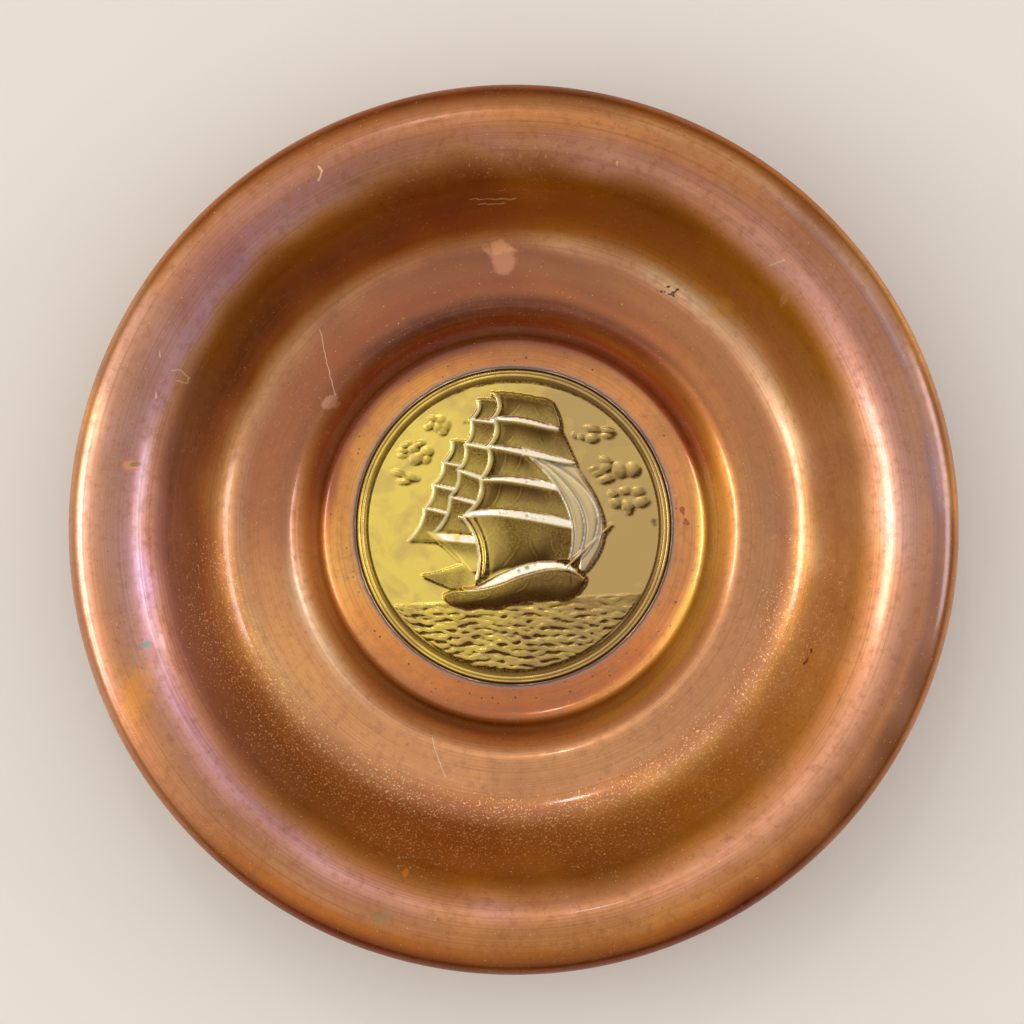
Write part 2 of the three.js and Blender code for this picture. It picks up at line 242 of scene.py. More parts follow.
# The rim isn't quite true: it waves a little three times round, and a knock has pushed it in on the left.
TRUE_BELOW, FREE_ABOVE = 20, 40
WARP = 0.1
KNOCK_AT, KNOCK_REACH, KNOCK_DEPTH = (-124, -39.5), 4.5, 0.35
free = np.clip((z - TRUE_BELOW) / (FREE_ABOVE - TRUE_BELOW), 0, 1)
z -= free * KNOCK_DEPTH * np.exp(-((x - KNOCK_AT[0]) ** 2 + (y - KNOCK_AT[1]) ** 2) / KNOCK_REACH**2)
z -= free * WARP * (1 + np.sin(3 * angle + 0.7))
rows, columns = x.shape
points = np.stack([x, y, z], -1).reshape(-1, 3) * MM
ring = np.arange(rows * columns).reshape(rows, columns)
following = np.roll(ring, -1, axis=1)
quads = np.stack([ring[:-1], following[:-1], following[1:], ring[1:]], -1).reshape(-1, 4)
under, over = len(points), len(points) + 1
points = np.vstack([points, [(0, 0, 0), (0, 0, SHEET * MM)]])
fans = [(under, int(b), int(a)) for a, b in zip(ring[0], following[0])]
fans += [(over, int(a), int(b)) for a, b in zip(ring[-1], following[-1])]


def mesh_object(name, points, faces):
    """A smooth-shaded object from points in metres."""
    mesh = bpy.data.meshes.new(name)
    mesh.from_pydata(points.tolist(), [], faces)
    mesh.validate()
    mesh.shade_smooth()
    made = bpy.data.objects.new(name, mesh)
    bpy.context.scene.collection.objects.link(made)
    return made


dish = mesh_object("spun_copper_dish", points, quads.tolist() + fans)

# Where an old film has tinted the metal: each patch is part of a ring, or a smudge, and filters its colour.
# The rings also paint in the highlights, reflections and shade that fall on each side of the dish at each
# radius.
COPPER = (0.66, 0.24, 0.048, 1)
NORTH, EAST, SOUTH, WEST = (0, 1), (1, 0), (0, -1), (-1, 0)
NORTH_EAST, SOUTH_EAST, SOUTH_WEST, NORTH_WEST = (0.7, 0.7), (0.7, -0.7), (-0.7, -0.7), (-0.7, 0.7)
ROUGH_EDGE, ROUGH_END, END_FADE = 0.12, 0.05, 0.7
FILM_AND_PAINTED_LIGHT = [
    # towards, inner and outer radius and fade in mm, how narrow, share of red, green and blue that is left
    (WEST, 40, 66, 2.0, 0.4, (1.5, 1.9, 1.9)),
    (EAST, 40, 66, 2.0, 0.5, (1.25, 1.3, 1.4)),
    (SOUTH, 40, 66, 2.0, 0.5, (0.92, 0.68, 0.4)),
    (NORTH, 66, 76, 2.5, 0.2, (0.38, 0.11, 0.015)),
    (NORTH, 76, 83, 2.5, 0.6, (0.34, 0.15, 0.04)),
    (NORTH_WEST, 60, 80, 3.0, 0.6, (0.95, 0.8, 0.5)),
    (NORTH_EAST, 72, 80, 2.0, 0.8, (1.5, 1.7, 1.2)),
    (EAST, 66, 75, 2.0, 0.3, (1.5, 2.3, 1.7)),
    (WEST, 65, 70, 2.0, 0.7, (1.3, 1.4, 1.2)),
    (WEST, 75, 80, 3.0, 0.7, (1.5, 2.6, 5.0)),
    (SOUTH_WEST, 69, 75, 2.0, 0.85, (0.7, 0.78, 0.9)),
    (SOUTH, 64, 74, 2.0, 0.75, (0.58, 0.4, 0.08)),
    (SOUTH_EAST, 64, 71, 2.0, 0.8, (1.15, 1.0, 0.8)),
    (SOUTH, 76, 98, 3.0, -0.2, (1.08, 1.25, 2.0)),
    (NORTH_WEST, 76, 100, 3.0, 0.5, (0.62, 0.45, 0.45)),
    (WEST, 84, 101, 4.0, 0.7, (1.25, 1.3, 1.1)),
    (NORTH, 83, 90, 3.0, 0.5, (0.9, 0.68, 0.38)),
    (NORTH_EAST, 86, 99, 3.0, 0.6, (0.75, 0.75, 0.8)),
    (SOUTH, 94, 106, 3.0, -0.1, (0.74, 0.58, 0.32)),
    (EAST, 99, 109, 3.0, 0.2, (1.1, 1.5, 2.6)),
    (WEST, 95, 107, 3.0, 0.6, (1.2, 1.75, 3.2)),
    (NORTH, 96, 101.5, 2.5, 0.2, (0.87, 0.78, 0.7)),
    (SOUTH, 96, 101.5, 2.5, 0.3, (0.84, 0.76, 0.6)),
    (WEST, 96, 101.5, 2.0, 0.7, (1.2, 1.35, 1.7)),
    (NORTH, 103, 107, 2.0, 0.3, (1.2, 1.25, 1.4)),
    (NORTH, 104, 126, 5.0, 0.3, (0.57, 0.38, 0.02)),
    (SOUTH, 106, 126, 5.0, 0.6, (0.72, 0.62, 0.08)),
    (WEST, 109, 122, 4.0, 0.5, (0.5, 0.53, 1.2)),
    (EAST, 109, 122, 4.0, 0.1, (0.95, 1.15, 1.6)),
    (NORTH, 110, 127, 5.0, 0.95, (0.72, 0.56, 0.3)),
    (SOUTH, 106, 127, 5.0, 0.95, (0.8, 0.75, 0.6)),
    (WEST, 108, 127, 5.0, 0.95, (0.8, 0.65, 0.4)),
    (EAST, 106, 128, 5.0, 0.95, (0.75, 0.65, 0.4)),
    (NORTH_EAST, 101, 127, 5.0, 0.85, (1.95, 2.85, 6.0)),
    (SOUTH_EAST, 100, 128, 5.0, 0.85, (1.9, 2.2, 2.5)),
    (SOUTH_WEST, 112, 130, 6.0, 0.85, (1.8, 2.15, 4.0)),
    (NORTH_WEST, 116, 127, 4.0, 0.85, (2.2, 3.3, 6.5)),
    (EAST, 122, 136, 3.0, 0.1, (1.05, 1.15, 2.3)),
    (EAST, 136, 147, 3.0, 0.6, (0.79, 0.8, 1.3)),
    (WEST, 121, 129, 4.0, 0.6, (0.8, 0.95, 2.0)),
    (WEST, 128, 134, 4.0, 0.2, (0.88, 1.0, 2.5)),
    (WEST, 134, 146, 3.0, 0.2, (0.84, 0.9, 1.7)),
    (NORTH, 130, 143, 3.0, 0.3, (0.8, 0.73, 0.8)),
    (NORTH, 128, 148, 4.0, 0.0, (1.02, 1.28, 2.1)),
    (SOUTH, 128, 150, 4.0, 0.0, (1.02, 1.16, 1.6)),
    (NORTH, 143, 150, 2.0, 0.6, (0.58, 0.5, 0.5)),
    (NORTH_WEST, 145, 160, 3.0, 1.0, (2.1, 2.2, 1.3)),
    (SOUTH_EAST, 140, 150, 4.0, 0.85, (1.2, 1.1, 0.8)),
    (SOUTH_WEST, 140, 151, 4.0, 0.85, (1.3, 1.2, 0.9)),
    (NORTH_EAST, 144, 152, 2.0, 1.0, (3.1, 4.6, 6.0)),
    (EAST, 142.5, 150, 2.0, 0.8, (0.38, 0.4, 0.7)),
    (SOUTH, 143, 150, 3.0, 0.5, (0.7, 0.5, 0.1)),
    (SOUTH, 148, 160, 3.0, 0.6, (0.3, 0.1, 0.01)),
    (NORTH, 147, 160, 3.0, 0.6, (0.42, 0.25, 0.08)),
    (WEST, 146, 160, 2.0, 0.6, (0.98, 1.2, 2.9)),
    (EAST, 145.5, 149.5, 1.5, 0.7, (0.7, 0.66, 0.62)),
]
SMUDGES = [
    # centre, reach across and up in mm, share of red, green and blue that is left
    ((6, 126), (17, 4), (0.8, 0.72, 0.5)), ((-36, 116), (20, 9), (0.82, 0.72, 0.4)),
    ((60, 108), (18, 12), (0.9, 0.8, 0.5)), ((-90, 88), (16, 12), (0.85, 0.76, 0.9)),
    ((-128, -57), (6, 13), (1.2, 1.15, 0.5)), ((30, -118), (26, 7), (0.86, 0.78, 0.6)),
]


def ease(t):
    """From 0 to 1 as t goes from 0 to 1, smoothly."""
    t = np.clip(t, 0, 1)
    return t * t * (3 - 2 * t)


x, y = points[:, 0] / MM, points[:, 1] / MM
radius = np.maximum(np.hypot(x, y), 0.1)
wander = np.sin(0.09 * x + 0.05 * y + 1) + np.sin(0.11 * y - 0.06 * x + 2.3) + np.sin(0.21 * x + 0.17 * y)


def arc(towards, inner, outer, fade, narrow):
    """A mask over the dish's points: part of a ring that fades at its two radii and towards its two ends."""
    r = radius + ROUGH_EDGE * fade * wander
    facing = (x * towards[0] + y * towards[1]) / radius + ROUGH_END * wander
    ring_mask = ease((r - inner) / fade / 2 + 0.5) * ease((outer - r) / fade / 2 + 0.5)
    return ring_mask * ease((facing - narrow) / END_FADE + 0.5)


film_and_painted_light = np.ones((len(points), 4))
# Painted highlights, reflections and shade, with the film's tint, filter the colour ring by ring.
for towards, inner, outer, fade, narrow, left in FILM_AND_PAINTED_LIGHT:
    mask = arc(towards, inner, outer, fade, narrow)[:, None]
    film_and_painted_light[:, :3] *= 1 - mask * (1 - np.array(left))
for (cx, cy), (across, up), left in SMUDGES:
    mask = np.exp(-(((x - cx) / across) ** 2) - ((y - cy) / up) ** 2)[:, None] * (1 + 0.15 * wander[:, None])
    film_and_painted_light[:, :3] *= 1 - np.clip(mask, 0, 1) * (1 - np.array(left))
film_and_painted_light[:, :3] = np.minimum(film_and_painted_light[:, :3], 1 / np.array(COPPER[:3]))
# The lacquer has worn off the far and near parts of the rim and all round its edge. It has thinned on the
# far side of the shoulder and of the wall. The back of the sheet has no film.
film_and_painted_light[:, 3] = 1 - 0.85 * arc(NORTH, 127, 160, 6, 0.4) - 0.7 * arc(SOUTH, 127, 160, 6, 0.4)
film_and_painted_light[:, 3] *= 1 - 0.6 * ease((radius - 148.5) / 2.5)
film_and_painted_light[:, 3] *= (1 - 0.4 * arc(NORTH, 71, 82, 3, 0.3)) * (1 - 0.3 * arc(NORTH, 108, 126, 8, 0.6))
face_up = np.append(np.repeat(np.arange(rows) >= first_of_face, columns), [False, True]).astype(float)
film_and_painted_light = 1 + face_up[:, None] * (film_and_painted_light - 1)
layer = dish.data.attributes.new("film_and_painted_light", "FLOAT_COLOR", "POINT")
layer.data.foreach_set("color", film_and_painted_light.astype(np.float32).reshape(-1))
for name, values in (("dusty", arc(SOUTH, 93, 120, 12, 0.1)), ("face_up", face_up)):
    layer = dish.data.attributes.new(name, "FLOAT", "POINT")
    layer.data.foreach_set("value", values.astype(np.float32))


def new_group(name, inputs, outputs):
    """A node group with named inputs (name, kind, value) and outputs (name, kind)."""
    tree = bpy.data.node_groups.new(name, "ShaderNodeTree")
    for socket, kind, value in inputs:
        made = tree.interface.new_socket(socket, in_out="INPUT", socket_type=kind)
        made.default_value = value
    for socket, kind in outputs:
        tree.interface.new_socket(socket, in_out="OUTPUT", socket_type=kind)
    return tree, tree.nodes.new("NodeGroupInput").outputs, tree.nodes.new("NodeGroupOutput").inputs


def use(tree, group, feeds=None):
    """The outputs of a node group placed in a material."""
    return add(tree, "ShaderNodeGroup", {"node_tree": group}, feeds).outputs


def vector_calc(tree, operation, feeds, result="Vector"):
    """An output of a Vector Math node."""
    return add(tree, "ShaderNodeVectorMath", {"operation": operation}, feeds).outputs[result]


def cloudy(tree, place, scale, detail, **more):
    """The outputs of a noise: its value and its colour."""
    feeds = {"Vector": place, "Scale": scale, "Detail": detail, **more}
    return add(tree, "ShaderNodeTexNoise", None, feeds).outputs


def painted(tree, name):
    """The outputs of an attribute of the mesh."""
    return add(tree, "ShaderNodeAttribute", {"attribute_name": name}).outputs


FLOAT, VECTOR = "NodeSocketFloat", "NodeSocketVector"
LEVEL = (1, 1, 0)

# Rings that a tool leaves as the metal turns: a height and a mask that change fast across the radius only.
turning_marks, given, out = new_group(
    "turning_marks",
    [("Place", VECTOR, (0, 0, 0)), ("Rings per mm", FLOAT, 1.0), ("Wander", FLOAT, 2.0)],
    [("Radius", FLOAT), ("Rings", FLOAT)],
)
flat = vector_calc(turning_marks, "MULTIPLY", {0: given[0], 1: LEVEL})
from_axis = vector_calc(turning_marks, "LENGTH", {0: flat}, "Value")
heading = vector_calc(turning_marks, "NORMALIZE", {0: flat})
split = add(turning_marks, "ShaderNodeSeparateXYZ", None, {0: heading}).outputs
across = calc(turning_marks, "MULTIPLY", from_axis, given[1])
around = [calc(turning_marks, "MULTIPLY", split[i], given[2]) for i in (0, 1)]
spot = add(turning_marks, "ShaderNodeCombineXYZ", None, {0: across, 1: around[0], 2: around[1]}).outputs[0]
turning_marks.links.new(from_axis, out[0])
turning_marks.links.new(cloudy(turning_marks, spot, 1.0, 4.0)[0], out[1])

# A blot with a ragged edge at one place: a stain, a rub or a spill.
blot, given, out = new_group(
    "blot",
    [
        ("Place", VECTOR, (0, 0, 0)),
        ("Centre", VECTOR, (0, 0, 0)),
        ("Turn", VECTOR, (0, 0, 0)),
        ("Reach", VECTOR, (1, 1, 1)),
        ("Noise", FLOAT, 0.5),
        ("Ragged", FLOAT, 0.5),
        ("Softness", FLOAT, 0.5),
    ],
    [("Mask", FLOAT)],
)
feeds = {"Vector": given[0], "Location": given[1], "Rotation": given[2], "Scale": given[3]}
local = add(blot, "ShaderNodeMapping", {"vector_type": "TEXTURE"}, feeds).outputs[0]
local = vector_calc(blot, "MULTIPLY", {0: local, 1: LEVEL})
reach = vector_calc(blot, "LENGTH", {0: local}, "Value")
ragged = calc(blot, "MULTIPLY", calc(blot, "SUBTRACT", given[4], 0.5), given[5])
edge = calc(blot, "ADD", reach, calc(blot, "MULTIPLY", ragged, 2.0))
inner = calc(blot, "SUBTRACT", 1.0, given[6])
blot.links.new(spread(blot, edge, inner, 1.0, 1.0, 0.0), out[0])

# Small spots scattered over a surface: specks of dust, pits or splashes.
specks, given, out = new_group(
    "specks",
    [
        ("Place", VECTOR, (0, 0, 0)),
        ("Spots per mm", FLOAT, 0.3),
        ("Size", FLOAT, 0.12),
        ("Share", FLOAT, 0.5),
    ],
    [("Mask", FLOAT)],
)
cells = add(specks, "ShaderNodeTexVoronoi", {"feature": "F1"}, {"Vector": given[0], "Scale": given[1]})
chance = add(specks, "ShaderNodeSeparateColor", None, {0: cells.outputs["Color"]}).outputs
size = calc(specks, "MULTIPLY", given[2], calc(specks, "ADD", 0.35, chance[1]))
dot = spread(specks, calc(specks, "DIVIDE", cells.outputs["Distance"], size), 0.7, 1.0, 1.0, 0.0)
kept = calc(specks, "LESS_THAN", chance[0], given[3])
specks.links.new(calc(specks, "MULTIPLY", dot, kept), out[0])

# A thin line from one place to another: a scratch, or one stroke of a longer mark.
stroke, given, out = new_group(
    "stroke",
    [
        ("Place", VECTOR, (0, 0, 0)),
        ("From", VECTOR, (0, 0, 0)),
        ("To", VECTOR, (1, 0, 0)),
        ("Width", FLOAT, 0.3),
    ],
    [("Mask", FLOAT)],
)
flat = vector_calc(stroke, "MULTIPLY", {0: given[0], 1: LEVEL})
away = vector_calc(stroke, "SUBTRACT", {0: flat, 1: given[1]})
length = vector_calc(stroke, "SUBTRACT", {0: given[2], 1: given[1]})
reached = vector_calc(stroke, "DOT_PRODUCT", {0: away, 1: length}, "Value")
whole = vector_calc(stroke, "DOT_PRODUCT", {0: length, 1: length}, "Value")
share = calc(stroke, "DIVIDE", reached, whole, True)
nearest = vector_calc(stroke, "SCALE", {0: length, "Scale": share})
gap = vector_calc(stroke, "DISTANCE", {0: away, 1: nearest}, "Value")
stroke.links.new(spread(stroke, calc(stroke, "DIVIDE", gap, given[3]), 0.1, 1.0, 1.0, 0.0), out[0])


def new_metal(name):
    """A new material's tree, its shader, and its object's coordinates in mm."""
    made = bpy.data.materials.new(name)
    made.use_nodes = True
    tree = made.node_tree
    shader = tree.nodes["Principled BSDF"]
    shader.inputs["Metallic"].default_value = 1.0
    metres = add(tree, "ShaderNodeTexCoord").outputs["Object"]
    place = vector_calc(tree, "SCALE", {0: metres, "Scale": 1 / MM})
    return made, tree, shader, place


copper, tree, shader, place = new_metal("spun_copper")
BROWN_TARNISH = (0.30, 0.10, 0.025, 1)
GOLDEN_SPECK = (1.0, 0.64, 0.28, 1)
HAIRLINE = (1.0, 0.60, 0.28, 1)
SCRATCH = (1.0, 0.72, 0.42, 1)
DARK_PIT = (0.10, 0.035, 0.015, 1)
SOLDER_BLOOM = (0.40, 0.24, 0.18, 1)
SOLDER_DIRT = (0.13, 0.07, 0.045, 1)
PALE_SOLDER = (0.86, 0.72, 0.46, 1)
STAINS = [
    # centre, turn in degrees, reach across and up in mm, how ragged, colour, share
    ((-124.6, -39.5), 20, (2.2, 1.1), 0.9, (0.16, 0.42, 0.36, 1), 0.9),
    ((-128.4, -44.8), 70, (1.6, 0.7), 0.9, (0.20, 0.34, 0.26, 1), 0.6),
    ((-127.5, -55.0), 65, (13.0, 5.5), 1.1, (0.95, 0.34, 0.06, 1), 0.36),
    ((-130.6, 21.2), 5, (3.8, 2.9), 0.3, (0.62, 0.19, 0.03, 1), 0.6),
    ((-130.4, 21.2), 5, (2.9, 2.1), 0.3, (0.70, 0.34, 0.16, 1), 0.8),
    ((-128.6, 21.5), 5, (2.8, 1.0), 0.5, (0.22, 0.10, 0.06, 1), 0.65),
    ((-3.8, 95.9), 100, (7.4, 5.6), 0.25, (0.90, 0.42, 0.22, 1), 0.4),
    ((-3.8, 96.1), 100, (6.8, 5.1), 0.25, (0.66, 0.26, 0.12, 1), 0.7),
    ((-5.4, 99.6), 5, (6.4, 3.0), 0.9, (0.92, 0.40, 0.14, 1), 0.5),
    ((72.6, 76.9), 40, (5.2, 4.0), 0.5, (0.84, 0.44, 0.06, 1), 0.5),
    ((93.0, 79.0), 60, (3.2, 1.6), 0.7, (0.80, 0.40, 0.16, 1), 0.5),
    ((-65.1, 45.1), 30, (3.8, 3.0), 0.7, (0.82, 0.44, 0.30, 1), 0.45),
    ((54.6, 85.2), 30, (1.7, 0.8), 3.0, (0.02, 0.015, 0.01, 1), 0.95),
    ((56.6, 83.4), 10, (1.8, 0.9), 3.0, (0.02, 0.015, 0.01, 1), 0.95),
    ((101.6, -46.0), 62, (2.3, 0.55), 1.4, (0.02, 0.01, 0.01, 1), 0.95),
    ((103.2, -42.6), 80, (1.3, 0.5), 1.4, (0.02, 0.01, 0.01, 1), 0.95),
    ((61.4, 4.6), 105, (3.6, 0.9), 3.0, (0.38, 0.05, 0.02, 1), 0.85),
    ((-43.5, -131.9), 20, (3.2, 1.8), 1.6, (0.32, 0.28, 0.12, 1), 0.5),
    ((-37.1, -117.7), 0, (1.8, 1.5), 0.7, (0.95, 0.36, 0.05, 1), 0.7),
]
PALE_MARKS = [
    # places along each mark in mm, its width
    ([(-28.8, -73.5), (-27.4, -78.7), (-24.2, -87.4)], 0.3),
    ([(-68.4, 70.3), (-66.1, 59.1), (-63.3, 47.5)], 0.26),
    ([(-116.5, 53.4), (-114.0, 53.9), (-111.3, 51.4), (-112.0, 49.7), (-115.1, 50.2)], 0.34),
    ([(-120.5, 59.6), (-120.2, 57.9)], 0.4),
    ([(-121.7, 45.8), (-121.5, 44.1)], 0.4),
    ([(-15.1, 114.1), (0.5, 114.3)], 0.3),
    ([(-12.5, 112.8), (-3.5, 113.0)], 0.26),
    ([(-66.6, 123.0), (-65.2, 120.9), (-66.2, 118.2)], 0.5),
    ([(35.3, 124.8), (35.3, 123.5)], 0.5),
    ([(87.7, 89.6), (89.9, 90.7), (92.1, 91.2)], 0.4),
]
RUB_CENTRE, RUB_REACH = (3, 124, 0), (22, 9, 1)
DISC_CENTRE = (0, 1.2, SHEET)


def stirred(tree, place, scale, detail, reach):
    """place, pushed about by a noise: edges drawn on it come out uneven. Also the noise itself."""
    value, push = cloudy(tree, place, scale, detail)
    push = vector_calc(tree, "SUBTRACT", {0: push, 1: (0.5, 0.5, 0.5)})
    push = vector_calc(tree, "SCALE", {0: push, "Scale": reach})
    return vector_calc(tree, "ADD", {0: place, 1: push}), value


clouds = cloudy(tree, place, 0.02, 5.0, Distortion=0.6)[0]
mottle = cloudy(tree, place, 0.3, 6.0, Roughness=0.65)[0]
marks = use(tree, turning_marks, {"Place": place, "Rings per mm": 1.6, "Wander": 1.2})
shaken, crumbs = stirred(tree, place, 0.4, 1.5, 1.3)
film_and_painted_light_outputs = painted(tree, "film_and_painted_light")
# The film colour holds painted highlights, reflections and shade as well as the film's tint.
colour = tint(tree, 1.0, film_and_painted_light_outputs["Color"], COPPER, "MULTIPLY")
colour = tint(tree, spread(tree, clouds, 0.35, 0.68, 0.0, 0.35), colour, BROWN_TARNISH)
colour = tint(tree, spread(tree, mottle, 0.45, 0.75, 0.0, 0.45), colour, BROWN_TARNISH)
colour = tint(tree, spread(tree, marks["Rings"], 0.45, 0.75, 0.0, 0.4), colour, BROWN_TARNISH)
plain = colour
for centre, turn, reach, ragged, stain, share in STAINS:
    feeds = {"Place": place, "Centre": (*centre, 0), "Turn": (0, 0, math.radians(turn)), "Reach": (*reach, 1)}
    mask = use(tree, blot, {**feeds, "Noise": crumbs, "Ragged": ragged})[0]
    colour = tint(tree, calc(tree, "MULTIPLY", mask, share), colour, stain)

# Golden specks, dense in a band on the near side and sparse elsewhere, and dark pits round the disc.
near_band = painted(tree, "dusty")["Fac"]
grain = cloudy(tree, place, 1.2, 2.0, Roughness=0.75)[0]
dust = spread(tree, calc(tree, "ADD", grain, spread(tree, near_band, 0.0, 1.0, -0.06, 0.06)), 0.63, 0.69)
pits = use(tree, specks, {"Place": place, "Spots per mm": 0.5, "Size": 0.2, "Share": 0.3})[0]
pits = calc(tree, "MULTIPLY", pits, spread(tree, marks["Radius"], 64, 68, 0.9, 0.25))
colour = tint(tree, calc(tree, "MULTIPLY", dust, 0.8), colour, GOLDEN_SPECK)

# Hairlines left by cleaning: fine curls, thickest where the far side of the rim was rubbed, and a few
# long scratches. The curls run where a noise crosses its middle value.
wave = cloudy(tree, shaken, 0.2, 1.5, Distortion=1.2)[0]
curls = spread(tree, calc(tree, "ABSOLUTE", calc(tree, "SUBTRACT", wave, 0.5)), 0.003, 0.012, 1.0, 0.0)
feeds = {"Place": place, "Centre": RUB_CENTRE, "Reach": RUB_REACH, "Noise": crumbs}
rubbed = use(tree, blot, {**feeds, "Ragged": 1.2, "Softness": 0.7})[0]
rubbed = calc(tree, "MULTIPLY", rubbed, 0.4)
rubbed = calc(tree, "ADD", rubbed, spread(tree, clouds, 0.5, 0.62, 0.0, 0.12), True)
colour = tint(tree, calc(tree, "MULTIPLY", curls, rubbed), colour, HAIRLINE)

scored = 0.0
for line, width in PALE_MARKS:
    for a, b in zip(line, line[1:]):
        mark = use(tree, stroke, {"Place": shaken, "From": (*a, 0), "To": (*b, 0), "Width": width})[0]
        scored = calc(tree, "MAXIMUM", scored, mark)
colour = tint(tree, calc(tree, "MULTIPLY", scored, 0.6), colour, SCRATCH)
colour = tint(tree, pits, colour, DARK_PIT)

# Solder that has crept out round the disc: a thin pale line, a dark one, and a grey bloom.
from_disc = vector_calc(tree, "DISTANCE", {0: place, 1: DISC_CENTRE}, "Value")
from_disc = calc(tree, "ADD", from_disc, spread(tree, crumbs, 0.3, 0.7, -0.12, 0.12))
colour = tint(tree, spread(tree, from_disc, 57.3, 59.3, 0.75, 0.0), colour, SOLDER_BLOOM)
colour = tint(tree, spread(tree, from_disc, 57.4, 57.9, 0.9, 0.0), colour, SOLDER_DIRT)
pale_line = spread(tree, from_disc, 56.95, 57.2, 0.95, 0.0)
pale_line = calc(tree, "MULTIPLY", pale_line, spread(tree, clouds, 0.42, 0.56, 1.0, 0.1))
colour = tint(tree, pale_line, colour, PALE_SOLDER)

# The back of the sheet has none of these marks.
colour = tint(tree, painted(tree, "face_up")["Fac"], plain, colour)
tree.links.new(colour, shader.inputs["Base Color"])
rough = spread(tree, marks["Radius"], 100, 150, 0.33, 0.37)
rough = calc(tree, "ADD", rough, spread(tree, marks["Rings"], 0.3, 0.7, -0.03, 0.05))
rough = calc(tree, "ADD", rough, spread(tree, mottle, 0.35, 0.7, -0.02, 0.07))
tree.links.new(rough, shader.inputs["Roughness"])
tree.links.new(film_and_painted_light_outputs["Alpha"], shader.inputs["Coat Weight"])
shader.inputs["Coat Roughness"].default_value = 0.14
shader.inputs["Coat IOR"].default_value = 1.65
height = calc(tree, "ADD", calc(tree, "MULTIPLY", marks["Rings"], 0.5), calc(tree, "MULTIPLY", mottle, 0.6))
bump = add(tree, "ShaderNodeBump", None, {"Height": height, "Strength": 0.2, "Distance": 0.0002})
tree.links.new(bump.outputs[0], shader.inputs["Normal"])
dish.data.materials.append(copper)
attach(dish, "root")
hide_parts("copper_dish")

# The brass disc
# A round plate of thin brass, stamped from behind with a sailing ship on a choppy sea under six clouds,
# inside a double border. It is soldered on the dish's floor. It is bright, with painted highlights on its
# strips and cords, painted shade and shadow over its sails, hull, clouds and sea, and brown in its border's
# grooves.
DISC_FIELD = 2.8
FIELD_EDGE = 51.8
BORDER = [
    # radius, and height over the field
    (52.2, -0.15), (52.7, -0.1), (53.1, 0.15), (53.5, 0.5), (53.85, 0.8), (54.1, 0.98), (54.35, 1.02),
    (54.6, 0.92), (54.85, 0.8), (55.05, 0.92), (55.3, 1.18), (55.55, 1.25), (55.8, 1.12), (56.05, 0.75),
    (56.3, 0.25), (56.5, 0.1),
]
DISC_RADIUS = 56.7
EDGE_TOP = DISC_FIELD - 0.4
SOLDER = 0.02
DISC_FOOT = SHEET + SOLDER
CELLS = 280

side = np.linspace(-1, 1, CELLS + 1)
s, t = np.meshgrid(side, side)
x = FIELD_EDGE * s * np.sqrt(1 - t * t / 2)
y = FIELD_EDGE * t * np.sqrt(1 - s * s / 2)
relief = np.zeros_like(x)
# Paleness for a painted highlight, on each point of the disc.
painted_highlight = np.zeros_like(x)
# Darkness for painted shade, and for dirt in the pits, on each point of the disc.
shade_and_dirt = np.zeros_like(x)


def arch(t):
    """0 at both ends of 0 to 1, and 1 in the middle."""
    return 4 * t * (1 - t)


def smooth_line(points, steps=8):
    """Points along a smooth curve through the given ones."""
    p = np.array(points, float)
    p = np.vstack([2 * p[0] - p[1], p, 2 * p[-1] - p[-2]])
    t = (np.arange(steps) / steps)[:, None]
    spans = [
        b + 0.5 * t * (c - a + t * (2 * a - 5 * b + 4 * c - d + t * (3 * (b - c) + d - a)))
        for a, b, c, d in zip(p, p[1:], p[2:], p[3:])
    ]
    return np.vstack(spans + [p[-2:-1]])


def distance_to(points):
    """How far each place on the disc is from a smooth curve, and how far along the curve, from 0 to 1."""
    line = smooth_line(points)
    near, along = np.full(x.shape, 99.0), np.zeros(x.shape)
    for i, ((ax, ay), (bx, by)) in enumerate(zip(line, line[1:])):
        dx, dy = bx - ax, by - ay
        part = np.clip(((x - ax) * dx + (y - ay) * dy) / (dx * dx + dy * dy), 0, 1)
        far = np.hypot(x - ax - part * dx, y - ay - part * dy)
        along = np.where(far < near, (i + part) / (len(line) - 1), along)
        near = np.minimum(near, far)
    return near, along


def lay(left, right, top, bottom, height, edge=None):
    """Lays a piece of relief over what is there. left and right give x for y, top and bottom give y for x;
    height takes the shares across and down, and the distances in mm from the left edge and the top."""
    l, r, h, f = left(y), right(y), top(x), bottom(x)
    u, v = (x - l) / (r - l), (h - y) / (h - f)
    lean = np.gradient(left(side * FIELD_EDGE), side * FIELD_EDGE)
    lean = np.interp(y, side * FIELD_EDGE, lean)
    inside = (u >= 0) & (u <= 1) & (v >= 0) & (v <= 1)
    u, v = np.clip(u, 0, 1), np.clip(v, 0, 1)
    raised, pale, brown = height(u, v, np.abs(x - l) / np.hypot(1, lean), np.abs(h - y), np.abs(r - x))
    relief[inside] = raised[inside]
    painted_highlight[inside] = pale[inside]
    shade_and_dirt[inside] = brown[inside]


CORD_RISE = 0.3


def corded_edge(d, width=1.0):
    """A double cord along an edge, at a distance d from it: two thin ridges with a groove between them."""
    d = d / width
    outer = np.exp(-(((d - 0.28) / 0.24) ** 2))
    inner = np.exp(-(((d - 1.2) / 0.26) ** 2))
    groove = np.exp(-(((d - 0.74) / 0.24) ** 2)) + 0.7 * np.exp(-(((d - 1.85) / 0.4) ** 2))
    return CORD_RISE * width * (outer + 0.8 * inner - 0.75 * groove)


STRIP_SLOPE = 0.42


def billow(down):
    """How a sail falls from its crest to its foot: fast at first, and then level."""
    return 1 - (1 - down) ** 2.2


def bag(down):
    """How a deep sail falls: level at first, and then ever faster."""
    return down**2.2


